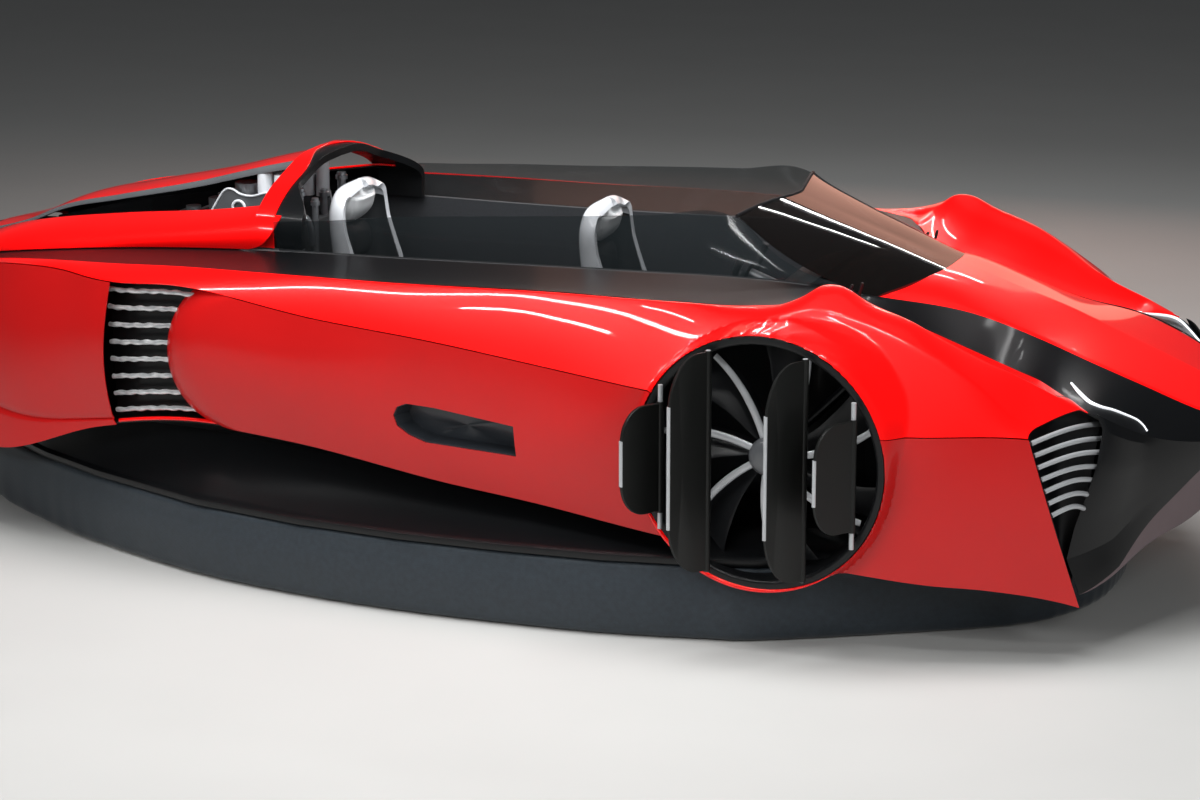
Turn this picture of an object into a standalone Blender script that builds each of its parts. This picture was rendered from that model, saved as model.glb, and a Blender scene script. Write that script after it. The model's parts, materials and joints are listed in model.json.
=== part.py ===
"""Sports hovercraft: a decked hull on a skirt, side pods with transverse ducted
fans and vertical vanes, and an open cockpit with two bucket seats in line.

Frame: metres, +X to the bow, +Y to port, +Z up. The floor is z = 0 and the
origin is in the middle of the bounding box's bottom.
"""
import math

import bmesh
import bpy
import numpy as np
from mathutils import Matrix, Vector

GAP = 0.0003            # clearance between two solids that rest on each other
SEAM = 0.0005           # seam between neighbouring body panels

STERN, BOW = -2.64, 2.64
HULL_REAR = -2.565
HULL_BOTTOM = 0.27      # underside of the hull, which is the skirt's top
RAIL_TOP = 0.31         # top of the rub rail around the hull
SKIRT_WALL = 0.11       # width of the inflated skirt tube
SKIRT_HEM = 0.004       # height of the skirt's hem above the floor when parked
HULL_FRONT = 1.97
RUB_RAIL = 0.006        # how far the rub rail stands out from the hull
SKID_X = (-1.45, 1.15)  # ends of a landing skid
SKID_Y = (0.42, 0.54)   # its sides, |Y|

TUB_WALL = 0.03
TUB_END = 0.04          # thickness of the tub's front and rear walls
TUB_REAR, TUB_FRONT = -1.22, 0.98
BAY_FLOOR = 0.93        # height of the engine bay's floor
STRIP = 0.012           # thickness of the black waist strip and channel covers
PANEL = 0.022           # thickness of the bonnet and spine panels
SEAT_BOWL = 0.135       # half width of the hollow between a seat's bolsters
GLASS = 0.008

GLASS_APEX = 1.395      # x of the windshield's foot on the centre plane
GLASS_TIP = 0.40        # |y| of the bonnet's drawn-out rear tips
TIP_BACK = 0.195        # how far the tips lie behind the apex
FOOT_POWER = 3.5        # how the foot's curve sharpens toward the tips
GLASS_COLUMNS = 6       # facets of the windshield on each side of its ridge
GLASS_REAR = -1.0195
ARCH_REAR = -1.14
DASH_REAR = 0.78
COLUMN_AXIS = (-0.94, 0.0, 0.342)
COLUMN_END = (0.60, 1.065)

TAIL_LAMP = (0.42, 0.84, 0.88)      # half width, foot and top of the lamp in the stern plate
LAMP_DEPTH = 0.02
VENT_INSET = 0.10       # how far the rear vent's well lies inside the pod's side
REAR_BARS = 8
FRONT_BARS = 7
BAR_SHARE = 0.45        # share of a grille's pitch that its bar fills
BAR_DEPTH = 0.05        # depth of the rear bars
FRONT_BAR_DEPTH = 0.022
FRONT_BAR_BOW = 0.03    # how far the front bars bow out at mid length
SLOT_Y = (1.02, 1.3)    # reach of the cut for the pods' air slot, |Y|
VENT_REAR, VENT_FRONT = -1.60, -1.34
LIP_REAR = -1.50        # rear end of the rounded lip that overhangs the rear vent
LIP_WALL = 0.04
LIP_ROUND = (-1.30, 0.20, 0.83, 0.275)      # the lip's ellipse: x, x radius, z, z radius
POD_NOSE = 2.07         # front end of the pods before the raked cut
# Corners of the pods' raked front end: outer top, outer foot, inner top.
FRONT_PLANE = ((1.90, 0.97, 0.83), (2.09, 0.92, 0.21), (2.07, 0.77, 0.86))

DUCT_X, DUCT_Z = 1.027, 0.672
DUCT_R = 0.415          # bore of the duct
DUCT_WALL = 0.03
DUCT_FACE = 1.17        # |Y| of the duct's outer rim
DUCT_BACK = 0.80        # |Y| of the duct's inner end
DUCT_STEPS = 48         # sides of the duct's circle
STATOR_Y = 0.90         # |Y| of the fan's bearing struts
FAN_R = 0.388
FAN_Y = 1.03            # |Y| of the fan's middle plane
HUB_R = 0.066
HUB_HALF = 0.045
FAN_BLADES = 7
# Sections of a fan blade: radius, twist in degrees, chord, thickness.
BLADE = ((0.11, 50, 0.05, 0.02), (0.25, 38, 0.13, 0.014), (FAN_R, 28, 0.16, 0.008))

VANE_Y = DUCT_FACE + 0.034
VANE_OFFSETS = (-0.344, -0.172, 0.172, 0.344)
VANE_CHORD = 0.165
VANE_THICK = 0.014
VANE_ANGLE = 55.0       # degrees between a vane and the duct's face at rest
VANE_LEAD = 0.006       # how far a plate runs forward of its shaft
VANE_ROUND = 0.07       # size of a plate's cut trailing corners
VANE_SHORT = (0.035, 0.075)     # how much shorter a middle and an end plate are than the chord
SHAFT_R = 0.010         # radius of a vane's shaft
LUG = 0.03              # height of the lugs that carry the shafts
LUG_HALF = 0.015        # half their length
LUG_OUT = 0.012         # how far they reach past the shafts, |Y|
STATOR_HUB = (0.05, 0.03)       # radius and half length of the hub between the struts
STRUTS = 4
STRUT_R = 0.016
FAN_SHAFT_R = 0.02

# Plan outline of the skirt's hem on the port side: x, half-width.
HEM = np.array([
    (-2.58, 0.00), (-2.545, 0.22), (-2.40, 0.46), (-2.03, 0.712), (-1.71, 0.877),
    (-1.17, 1.09), (-0.71, 1.185), (-0.30, 1.222), (0.09, 1.221), (0.46, 1.198),
    (0.81, 1.134), (1.00, 1.082), (1.38, 0.867), (1.80, 0.594), (1.95, 0.40),
    (2.02, 0.20), (2.035, 0.0)])

# Long lines of the body on the port side: x, y, z, from the stern to the bow.
LINE = {
    "ridge": [(-2.64, 0, 1.03), (-2.36, 0, 1.11), (-2.22, 0, 1.17), (-1.95, 0, 1.235),
              (-1.59, 0, 1.315), (-1.33, 0, 1.385), (-1.14, 0, 1.43)],
    "rail": [(-2.64, 0.16, 1.02), (-2.36, 0.19, 1.10), (-2.22, 0.195, 1.16),
             (-1.95, 0.20, 1.225), (-1.59, 0.20, 1.305), (-1.33, 0.20, 1.375),
             (-1.14, 0.20, 1.42)],
    "bonnet": [(0.95, 0, 1.16), (1.392, 0, 1.169), (1.754, 0, 1.027), (2.007, 0, 0.929),
               (2.301, 0, 0.826), (2.64, 0, 0.69)],
    "window": [(-2.64, 0.30, 1.00), (-2.24, 0.44, 1.14), (-1.78, 0.46, 1.213),
               (-1.41, 0.46, 1.251), (-1.14, 0.46, 1.29)],
    "shoulder": [(-2.64, 0.40, 0.985), (-2.26, 0.56, 1.112), (-1.78, 0.60, 1.165),
                 (-1.40, 0.61, 1.205), (-1.14, 0.61, 1.235)],
    "glass": [(-1.10, 0.655, 1.250), (-0.84, 0.629, 1.275), (-0.61, 0.585, 1.301),
              (-0.26, 0.549, 1.323), (0.125, 0.528, 1.348), (0.39, 0.498, 1.365),
              (0.68, 0.465, 1.378), (0.72, 0.463, 1.360), (0.86, 0.48, 1.25),
              (1.00, 0.455, 1.176), (1.08, 0.44, 1.158)],
    "edge": [(-2.64, 0.44, 0.97), (-2.2, 0.62, 1.06), (-1.6, 0.63, 1.12),
             (-1.11, 0.611, 1.142), (-0.55, 0.58, 1.148), (0.0, 0.556, 1.157),
             (0.41, 0.556, 1.166), (0.69, 0.555, 1.172), (0.95, 0.50, 1.155),
             (1.20, 0.40, 1.112), (1.56, 0.35, 1.064), (1.80, 0.35, 0.989),
             (2.01, 0.345, 0.929), (2.185, 0.33, 0.865), (2.37, 0.28, 0.778),
             (2.64, 0.10, 0.665)],
    "sill": [(-2.64, 0.48, 0.96), (-2.05, 0.80, 1.075), (-1.6, 0.95, 1.125),
             (-1.25, 1.00, 1.148), (-0.90, 1.014, 1.155), (-0.37, 1.011, 1.16),
             (0.205, 0.994, 1.172), (0.64, 0.953, 1.164), (0.90, 0.874, 1.153),
             (1.00, 0.80, 1.150), (1.08, 0.66, 1.140), (1.16, 0.54, 1.110),
             (1.24, 0.48, 1.075), (1.34, 0.45, 1.035), (1.55, 0.43, 0.955),
             (1.74, 0.44, 0.890), (1.84, 0.51, 0.878), (1.91, 0.60, 0.874),
             (1.99, 0.70, 0.868), (2.07, 0.77, 0.850), (2.24, 0.60, 0.745),
             (2.64, 0.115, 0.655)],
    "brow": [(-2.64, 0.495, 0.957), (-2.05, 0.815, 1.0745), (-1.6, 0.96, 1.1235),
             (-1.25, 1.01, 1.1465), (-0.90, 1.024, 1.152), (-0.37, 1.021, 1.1545),
             (0.205, 1.005, 1.1645), (0.64, 0.967, 1.158), (0.90, 0.905, 1.151),
             (1.02, 0.85, 1.168), (1.12, 0.79, 1.222), (1.20, 0.785, 1.218),
             (1.30, 0.785, 1.172), (1.55, 0.79, 1.080), (1.74, 0.79, 0.998),
             (1.91, 0.787, 0.935), (2.07, 0.78, 0.848)],
    "crest": [(-2.64, 0.56, 0.93), (-2.05, 0.90, 1.065), (-1.6, 1.02, 1.105),
              (-1.25, 1.06, 1.125), (-0.6, 1.075, 1.10), (0.0, 1.07, 1.085),
              (0.5, 1.06, 1.065), (0.80, 1.03, 1.09), (1.02, 0.995, 1.158),
              (1.16, 0.985, 1.176), (1.32, 0.975, 1.148), (1.46, 0.97, 1.097),
              (1.60, 0.965, 1.032), (1.73, 0.96, 0.952), (1.86, 0.955, 0.855),
              (2.07, 0.88, 0.80)],
    "crease": [(-2.64, 0.62, 0.86), (-2.05, 0.95, 1.03), (-1.6, 1.06, 1.08),
               (-1.25, 1.10, 1.10), (-0.66, 1.12, 1.028), (-0.19, 1.13, 0.985),
               (0.23, 1.14, 0.935), (0.59, 1.155, 0.893), (1.035, 1.16, 0.85),
               (1.44, 1.12, 0.80), (1.90, 0.99, 0.80), (2.07, 0.93, 0.78)],
    "flank": [(-2.64, 0.58, 0.34), (-2.05, 0.90, 0.37), (-1.6, 1.02, 0.52),
              (-1.25, 1.06, 0.575), (-0.80, 1.08, 0.556), (-0.16, 1.09, 0.464),
              (0.164, 1.10, 0.43), (0.617, 1.135, 0.376), (1.035, 1.15, 0.33),
              (1.29, 1.12, 0.307), (1.61, 1.08, 0.279), (1.80, 1.02, 0.265),
              (2.07, 0.92, 0.21)],
    "keel": [(1.76, 0.86, 0.44), (2.07, 0.60, 0.30), (2.24, 0.42, 0.33), (2.45, 0.22, 0.48),
             (2.64, 0.05, 0.62)],
    "tuck": [(-2.64, 0.30, 0.40), (-2.05, 0.66, 0.45), (-1.6, 0.82, 0.50),
             (-1.25, 0.88, 0.51), (-0.80, 0.92, 0.49), (-0.16, 0.95, 0.42),
             (0.617, 0.95, 0.38), (1.035, 0.88, 0.37), (1.29, 0.80, 0.365),
             (1.61, 0.62, 0.36), (1.80, 0.52, 0.36), (2.07, 0.40, 0.36)],
}
LINE = {name: np.array(rows, float) for name, rows in LINE.items()}
SLOPE = {name: np.gradient(rows[:, 1:], rows[:, 0], axis=0) for name, rows in LINE.items()}
RANK = {name: rank for rank, name in enumerate(LINE)}

STATIONS = (
    -2.60, -2.48, -2.36, -2.24, -2.12, -2.00, -1.88, -1.76, -1.66, -1.60, -1.50, -1.42,
    -1.34, -1.25, -1.22, -1.14, -1.00, -0.88, -0.74, -0.60, -0.45, -0.30, -0.15, 0.0,
    0.15, 0.30, 0.45, 0.60, 0.72, 0.84, 0.92, 0.98, 1.02, 1.07, 1.12, 1.18, 1.24, 1.32,
    1.40, 1.48, 1.56, 1.64, 1.72, 1.80, 1.88, 1.97, 2.07, 2.16, 2.25, 2.34, 2.43, 2.52,
    2.60)

# How far down the bow's side its chine runs, as a share of the way to the keel: x, share.
CHINE = np.array([(2.07, 0.96), (2.18, 0.95), (2.30, 0.67), (2.40, 0.38), (2.50, 0.14), (2.64, 0.04)])
CHINE_OUT = 0.05        # how far the chine stands out from the flat side at half way
STEM = np.array([(1.9, 0.05), (2.06, 0.125), (2.235, 0.281), (2.6, 0.60), (2.64, 0.63)])

# Light blade on the bow's deck: x, y and half-width from its rear end to its tip.
LIGHT = np.array([(1.948, 0.522, 0.006), (1.989, 0.573, 0.013), (2.043, 0.622, 0.012),
                  (2.096, 0.638, 0.009), (2.141, 0.622, 0.008), (2.188, 0.592, 0.006),
                  (2.237, 0.578, 0.003)])
LIGHT_TALL = 0.008
LIGHT_STEP = 0.009      # length of a light blade's facets, short enough to follow the deck's folds
LIGHT_SEAT = 0.0008     # gap between a light blade and the deck's flat facets

# Corners (x, z) of the air slot in a pod's side.
SLOT = ((0.119, 0.598), (0.113, 0.711), (-0.194, 0.748), (-0.303, 0.753), (-0.35, 0.72),
        (-0.343, 0.67), (-0.235, 0.612))

# Engine block: ends in x, half width and top; intake pipes on each side: x, radius, top.
BLOCK_X, BLOCK_HALF, BLOCK_TOP = (-1.78, -1.32), 0.20, 1.10
INTAKES = ((-1.66, 0.030, 1.19), (-1.55, 0.038, 1.23), (-1.42, 0.050, 1.30))
INTAKE_Y = 0.135
PIPE_FOOT = 1.05        # foot of the pipes and fins, inside the block
FINS, FIN_FIRST, FIN_PITCH, FIN_THICK = 8, -1.76, 0.055, 0.02
FIN_HALF, FIN_TOP = 0.07, 1.15

# Half outline of the roll arch from its crown down to the cockpit's rim: |y|, z.
ARCH = np.array([(0, 1.44), (0.17, 1.432), (0.34, 1.395), (0.49, 1.325), (0.60, 1.245),
                 (0.63, 1.19), (0.634, 1.147)])
ARCH_FRONT = -1.05
LINING_FRONT = -1.02
HOOP, LINING = 0.02, 0.05       # how deep the red hoop and the lining inside it reach

# Bucket seats: name, x and top; then their side view and the hollow's, x and z from the foot.
SEATS = (("seat_front", 0.115, 1.30), ("seat_rear", -0.92, 1.302))
SEAT_TALL, SEAT_HALF = 0.77, 0.19
SEAT_SIDE = ((0.02, 0.0), (-0.02, 0.10), (-0.16, 0.72), (-0.145, 0.76), (-0.11, 0.77),
             (-0.085, 0.74), (0.04, 0.22), (0.08, 0.15), (0.40, 0.19), (0.47, 0.23),
             (0.50, 0.20), (0.48, 0.12), (0.40, 0.02))
SEAT_HOLLOW = ((-0.095, 0.56), (0.0, 0.22), (0.05, 0.125), (0.40, 0.155), (0.60, 0.19), (0.60, 0.56))
PLINTH_X, PLINTH_HALF, PLINTH_TOP = (0.06, 0.36), 0.12, 0.06

# Dash and steering: the dash's half width and heights, then the yoke's parts.
DASH_HALF, DASH_Z = 0.40, (0.86, 1.12)
COLUMN_R, YOKE_R, YOKE_THICK = 0.022, 0.045, 0.03
GRIP_OUT, GRIP_LOW, GRIP_HIGH, GRIP_R, ARM_R = 0.15, 0.06, 0.08, 0.014, 0.012

# Materials: name, sRGB colour, roughness, metallic.
RED = ("body_red", "#e01010", 0.18, 0.0)
DARK_RED = ("side_red", "#a81414", 0.25, 0.0)
BLACK = ("gloss_black", "#161718", 0.15, 0.0)
SKIRT = ("skirt_rubber", "#2a3138", 0.7, 0.0)
GREY = ("liner_grey", "#3a3b3e", 0.5, 0.0)
TINT = ("tinted_glass", "#1c2022", 0.08, 0.0)
SILVER = ("silver_bar", "#c8cacc", 0.25, 1.0)
LAMP = ("lamp_white", "#eef2f6", 0.2, 0.0)
WHITE = ("seat_white", "#e0e4e8", 0.4, 0.0)
PLATE = ("vane_black", "#191a19", 0.4, 0.0)
CAST = ("engine_metal", "#9a9ca0", 0.35, 0.9)
TAIL = ("lamp_red", "#700808", 0.2, 0.0)


def material(spec):
    """Principled material from a name, an sRGB hex colour, a roughness and a metallic value."""
    name, colour, roughness, metallic = spec
    found = bpy.data.materials.get(name)
    if found:
        return found
    made = bpy.data.materials.new(name)
    made.use_nodes = True
    shader = made.node_tree.nodes["Principled BSDF"]
    srgb = [int(colour[k:k + 2], 16) / 255 for k in (1, 3, 5)]
    linear = [c / 12.92 if c <= 0.04045 else ((c + 0.055) / 1.055) ** 2.4 for c in srgb]
    shader.inputs["Base Color"].default_value = (*linear, 1)
    shader.inputs["Roughness"].default_value = roughness
    shader.inputs["Metallic"].default_value = metallic
    return made


def add_mesh(name, verts, faces, spec):
    """Object from vertices and faces, with its normals made to point outwards."""
    mesh = bpy.data.meshes.new(name)
    mesh.from_pydata([tuple(v) for v in verts], [], faces)
    work = bmesh.new()
    work.from_mesh(mesh)
    bmesh.ops.recalc_face_normals(work, faces=work.faces)
    bmesh.ops.triangulate(work, faces=[f for f in work.faces if len(f.verts) > 4])
    work.to_mesh(mesh)
    work.free()
    mesh.materials.append(material(spec))
    made = bpy.data.objects.new(name, mesh)
    bpy.context.scene.collection.objects.link(made)
    return made


def line(name, x):
    """Point (y, z) of a long line at x, by a cubic through its rows with their mean slopes."""
    rows, slope = LINE[name], SLOPE[name]
    x = min(max(x, rows[0, 0]), rows[-1, 0])
    i = int(np.clip(np.searchsorted(rows[:, 0], x) - 1, 0, len(rows) - 2))
    h = rows[i + 1, 0] - rows[i, 0]
    t = (x - rows[i, 0]) / h
    return ((2 * t**3 - 3 * t**2 + 1) * rows[i, 1:] + (t**3 - 2 * t**2 + t) * h * slope[i]
            + (3 * t**2 - 2 * t**3) * rows[i + 1, 1:] + (t**3 - t**2) * h * slope[i + 1])


def at(name, x, dy=0.0, dz=0.0):
    """Corner of a section: the rank of its line, and the line's point moved by dy and dz."""
    y, z = line(name, x)
    return RANK[name], y + dy, z + dz


def whole(half):
    """Both sides of a section whose half starts and ends on the centre plane."""
    return half + [(rank, -y, z) for rank, y, z in half[-2:0:-1]]


def hem(x):
    return float(np.interp(x, HEM[:, 0], HEM[:, 1]))


def stations(start, stop):
    return [start] + [x for x in STATIONS if start < x < stop] + [stop]


def loft(name, xs, section, spec, side=1):
    """Solid through the section polygons at xs.

    A side face between two long lines is cut along the diagonal that leaves the line
    of lower rank, so that two neighbours cut the face between them the same way.
    """
    rings = [section(x) for x in xs]
    n = len(rings[0])
    verts = [(x, side * y, z) for x, ring in zip(xs, rings) for _, y, z in ring]
    faces = [tuple(range(n)), tuple(range((len(xs) - 1) * n, len(xs) * n))]
    for i in range(len(xs) - 1):
        for j in range(n):
            k = (j + 1) % n
            a, b, c, d = i * n + j, i * n + k, (i + 1) * n + k, (i + 1) * n + j
            if rings[i][j][0] <= rings[i][k][0]:
                faces += [(a, b, c), (a, c, d)]
            else:
                faces += [(a, b, d), (b, c, d)]
    return add_mesh(name, verts, faces, spec)


def box(name, low, high, spec):
    """Cuboid between two corners."""
    (x0, y0, z0), (x1, y1, z1) = low, high
    verts = [(x, y, z) for x in (x0, x1) for y in (y0, y1) for z in (z0, z1)]
    faces = [(0, 1, 3, 2), (4, 6, 7, 5), (0, 4, 5, 1), (2, 3, 7, 6), (0, 2, 6, 4), (1, 5, 7, 3)]
    return add_mesh(name, verts, faces, spec)


def cylinder(name, start, end, radius, spec, steps=16):
    """Round bar between two points."""
    start, end = Vector(start), Vector(end)
    turn = (end - start).to_track_quat("Z", "Y").to_matrix()
    rim = [turn @ Vector((radius * math.cos(2 * math.pi * k / steps),
                          radius * math.sin(2 * math.pi * k / steps), 0)) for k in range(steps)]
    verts = [start + r for r in rim] + [end + r for r in rim]
    faces = [tuple(range(steps)), tuple(range(steps, 2 * steps))]
    faces += [(k, (k + 1) % steps, steps + (k + 1) % steps, steps + k) for k in range(steps)]
    return add_mesh(name, verts, faces, spec)


def duct_circle(radius):
    """Corners (x, z) of a circle about a duct's axis."""
    angles = [2 * math.pi * k / DUCT_STEPS for k in range(DUCT_STEPS)]
    return [(DUCT_X + radius * math.cos(a), DUCT_Z + radius * math.sin(a)) for a in angles]


def turned(name, profile, side, spec):
    """Ring turned about a duct's axis, which runs along Y: profile rows are radius, |Y|."""
    n, steps = len(profile), DUCT_STEPS
    circles = [duct_circle(r) for r, _ in profile]
    verts = [(circles[j][k][0], side * profile[j][1], circles[j][k][1])
             for k in range(steps) for j in range(n)]
    faces = [(k * n + j, k * n + (j + 1) % n, (k + 1) % steps * n + (j + 1) % n,
              (k + 1) % steps * n + j) for k in range(steps) for j in range(n)]
    return add_mesh(name, verts, faces, spec)


def extruded(name, outline, y0, y1, spec, place=None):
    """Solid from an outline of (x, z) corners between two Y values, moved by a matrix."""
    n = len(outline)
    verts = [Vector((x, y, z)) for y in (y0, y1) for x, z in outline]
    if place:
        verts = [place @ v for v in verts]
    faces = [tuple(range(n)), tuple(range(n, 2 * n))]
    faces += [(j, (j + 1) % n, n + (j + 1) % n, n + j) for j in range(n)]
    return add_mesh(name, verts, faces, spec)


def ladder(name, bars, place, spec, bar_share=0.5, post=0.04, pieces=4):
    """Bars joined by a post at each end; place(u, v, w) puts the unit block where it belongs."""
    us = [0, *np.linspace(post, 1 - post, pieces + 1), 1]
    pitch = 1 / (bars - 1 + bar_share)
    vs = [v for k in range(bars) for v in (k * pitch, (k + bar_share) * pitch)]
    nu, nv = len(us), len(vs)
    filled = {(i, j) for i in range(nu - 1) for j in range(nv - 1)
              if i in (0, nu - 2) or j % 2 == 0}
    index = {}
    verts = []

    def corner(i, j, w):
        if (i, j, w) not in index:
            index[i, j, w] = len(verts)
            verts.append(place(us[i], vs[j], w))
        return index[i, j, w]

    faces = []
    for i, j in sorted(filled):
        faces += [tuple(corner(a, b, w) for a, b in ((i, j), (i + 1, j), (i + 1, j + 1), (i, j + 1)))
                  for w in (0, 1)]
        for (p, q), other in ((((i, j), (i + 1, j)), (i, j - 1)),
                              (((i, j + 1), (i + 1, j + 1)), (i, j + 1)),
                              (((i, j), (i, j + 1)), (i - 1, j)),
                              (((i + 1, j), (i + 1, j + 1)), (i + 1, j))):
            if other not in filled:
                faces.append((corner(*p, 0), corner(*q, 0), corner(*q, 1), corner(*p, 1)))
    return add_mesh(name, verts, faces, spec)


def cut(target, cutter, operation="DIFFERENCE"):
    """Boolean between an object and a guide that stays hidden."""
    cutter.hide_render = True
    cutter.display_type = "WIRE"
    change = target.modifiers.new(cutter.name, "BOOLEAN")
    change.operation = operation
    change.solver = "EXACT"
    change.object = cutter


def make_skirt():
    """Closed tube round the plan outline: up the outer wall and back down the inner one."""
    points = np.array([(x, y) for x, y in HEM] + [(x, -y) for x, y in HEM[-2:0:-1]])
    along = np.roll(points, -1, 0) - np.roll(points, 1, 0)
    normal = np.stack([-along[:, 1], along[:, 0]], 1) / np.linalg.norm(along, axis=1)[:, None]
    profile = [(-0.012, SKIRT_HEM), (0.004, 0.03), (0.012, 0.12), (0.008, 0.21),
               (-0.004, HULL_BOTTOM - GAP), (-SKIRT_WALL, HULL_BOTTOM - GAP),
               (-SKIRT_WALL, 0.05), (-0.05, SKIRT_HEM)]
    verts = [(*(p + out * d), z) for p, out in zip(points, normal) for d, z in profile]
    n, m = len(profile), len(points)
    faces = [(i * n + j, i * n + (j + 1) % n, (i + 1) % m * n + (j + 1) % n, (i + 1) % m * n + j)
             for i in range(m) for j in range(n)]
    return add_mesh("skirt", verts, faces, SKIRT)


def hull_section(x):
    width = hem(x)
    y, z = line("tuck", x)
    y = min(y, width - 0.03)
    r = RANK["tuck"]
    return whole([(r, 0.0, HULL_BOTTOM), (r, width, HULL_BOTTOM), (r, width + RUB_RAIL, 0.29),
                  (r, width, RAIL_TOP), (r, y, z), (r, 0.0, z)])


def low_pod(x):
    """Side of a pod from the crease down to the hull."""
    crease = at("crease", x, 0, -SEAM)
    floor = at("tuck", x, 0, GAP)
    inner = at("edge", x)[:2]
    return [(*inner, crease[2]), crease, at("flank", x), floor, (*inner, floor[2])]


def high_pod(x):
    """Top of a pod above the crease: shoulder along the cockpit, fender at the bow."""
    crease = at("crease", x)
    return [(*at("edge", x)[:2], crease[2]), at("edge", x, 0, -STRIP - GAP),
            at("sill", x, 0, -STRIP - 3 * GAP), at("sill", x, 2 * GAP), at("brow", x),
            at("crest", x), crease]


def strip_section(x):
    """Black waist strip from the glass out to the sill."""
    return [at("edge", x, 0, -STRIP), at("edge", x), at("sill", x, -GAP),
            at("sill", x, -GAP, -STRIP)]


def vent_well(x):
    """Dark wall behind the rear grille, set in from the pod's side."""
    inner = at("edge", x)[:2]
    top = at("crease", x, -VENT_INSET, -SEAM)
    floor = at("tuck", x, 0, GAP)
    return [(*inner, top[2]), top, at("flank", x, -VENT_INSET), floor, (*inner, floor[2])]


def lip_section(x):
    """Wall that carries the pod's side on over the rear vent; its root is set in."""
    inset = 0.002 if x > VENT_FRONT else 0.0
    crease, flank = at("crease", x, -inset, -SEAM - inset), at("flank", x, -inset, inset)
    return [crease, flank, (flank[0], flank[1] - LIP_WALL, flank[2]),
            (crease[0], crease[1] - LIP_WALL, crease[2])]


def foot_x(y):
    """Where the windshield stands on the bonnet: the foot's curve, which ends in two tips."""
    return GLASS_APEX - TIP_BACK * (abs(y) / GLASS_TIP) ** FOOT_POWER


def deck_height(x, y):
    """Height of the bow's black deck, on the same flat facets as loft makes of it."""
    before, after = [(a, b) for a, b in zip(STATIONS, STATIONS[1:]) if a <= x <= b][0]
    a, b = ((s, *line("edge", s)) for s in (before, after))
    d, c = ((s, *line("sill", s)) for s in (before, after))
    for corners in ((a, b, c), (a, c, d)):
        (x0, y0, z0), (x1, y1, z1), (x2, y2, z2) = corners
        area = (x1 - x0) * (y2 - y0) - (x2 - x0) * (y1 - y0)
        u = ((x - x0) * (y2 - y0) - (x2 - x0) * (y - y0)) / area
        v = ((x1 - x0) * (y - y0) - (x - x0) * (y1 - y0)) / area
        if min(u, v, 1 - u - v) >= -1e-9:
            return z0 + u * (z1 - z0) + v * (z2 - z0)
    raise ValueError(f"point {x}, {y} is off the deck")


def tub_outer(x):
    wall = line("edge", x)[0] - GAP
    top = line("edge", x)[1]
    low = line("tuck", x)[1] + GAP
    r = RANK["edge"]
    return whole([(r, 0.0, low), (r, wall, low), (r, wall, top), (r, 0.0, top)])


def tub_inner(x):
    wall = line("edge", x)[0] - TUB_WALL
    low = line("tuck", x)[1] + TUB_WALL
    r = RANK["edge"]
    return whole([(r, 0.0, low), (r, wall, low), (r, wall, 1.4), (r, 0.0, 1.4)])


def bay_inner(x):
    wall = line("edge", x)[0] - TUB_WALL
    r = RANK["edge"]
    return whole([(r, 0.0, BAY_FLOOR), (r, wall, BAY_FLOOR), (r, wall, 1.4), (r, 0.0, 1.4)])


def fore_section(x):
    """Core under the bonnet, between the pods."""
    wall = line("edge", x)[0] - GAP
    low = line("tuck", x)[1] + GAP
    r = RANK["edge"]
    return whole([(r, 0.0, low), (r, wall, low), (r, wall, line("edge", x)[1] - PANEL - GAP),
                  at("bonnet", x, 0, -PANEL - GAP)])


def bonnet_section(x):
    return whole([at("bonnet", x, 0, -PANEL), at("edge", x, -GAP, -PANEL), at("edge", x, -GAP),
                  at("bonnet", x)])


def nose_section(x):
    """Black bow below the bonnet: the stem, the facet under the chine and the side above it."""
    stem = float(np.interp(x, STEM[:, 0], STEM[:, 1]))
    keel, sill = at("keel", x), at("sill", x)
    share = float(np.interp(x, CHINE[:, 0], CHINE[:, 1]))
    width = min(0.06, keel[1] * 0.5)
    r = RANK["keel"]
    chine = (r, sill[1] + (keel[1] - sill[1]) * share + CHINE_OUT * math.sin(math.pi * share),
             sill[2] + (keel[2] - sill[2]) * share)
    return whole([(r, 0.0, stem), (r, width, stem), keel, chine, sill, at("edge", x),
                  at("edge", x, 0, -PANEL - GAP), at("bonnet", x, 0, -PANEL - GAP)])


def shoulder_section(x):
    """Red shoulder beside the engine bay, a wall that stands on the bay's rim."""
    return [at("window", x), at("shoulder", x), at("edge", x, 0, GAP), at("edge", x, -0.03, GAP),
            at("shoulder", x, -0.03, -0.025), at("window", x, 0, -0.025)]


def rail_section(x):
    return [at("rail", x, -0.010, -0.035), at("rail", x, 0.018, -0.035), at("rail", x, 0.018),
            at("rail", x, -0.010)]


def spine_section(x):
    return whole([at("ridge", x, 0, -PANEL), at("rail", x, -0.010 - SEAM, -PANEL),
                  at("rail", x, -0.010 - SEAM), at("ridge", x)])


def tail_section(x):
    """Outline of the stern plate, through the stern ends of the long lines."""
    names = ("flank", "crease", "crest", "sill", "window", "rail")
    r = RANK["tuck"]
    return whole([(r, 0.0, 0.40), at("tuck", STERN), *(at(n, STERN) for n in names),
                  at("ridge", STERN)])


def glass_section(x):
    """Upright side glass on the cockpit's rim."""
    return [at("edge", x, -0.006 - GLASS, GAP), at("edge", x, -0.006, GAP), at("glass", x),
            at("glass", x, -GLASS)]


def build_hull():
    hull = loft("hull", stations(HULL_REAR, HULL_FRONT), hull_section, BLACK)
    skirt = make_skirt()
    for tag, side in (("left", 1), ("right", -1)):
        y0, y1 = sorted(side * y for y in SKID_Y)
        box(f"landing_skid_{tag}", (SKID_X[0], y0, 0.0), (SKID_X[1], y1, HULL_BOTTOM - GAP), GREY)
    return [hull, skirt]


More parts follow.
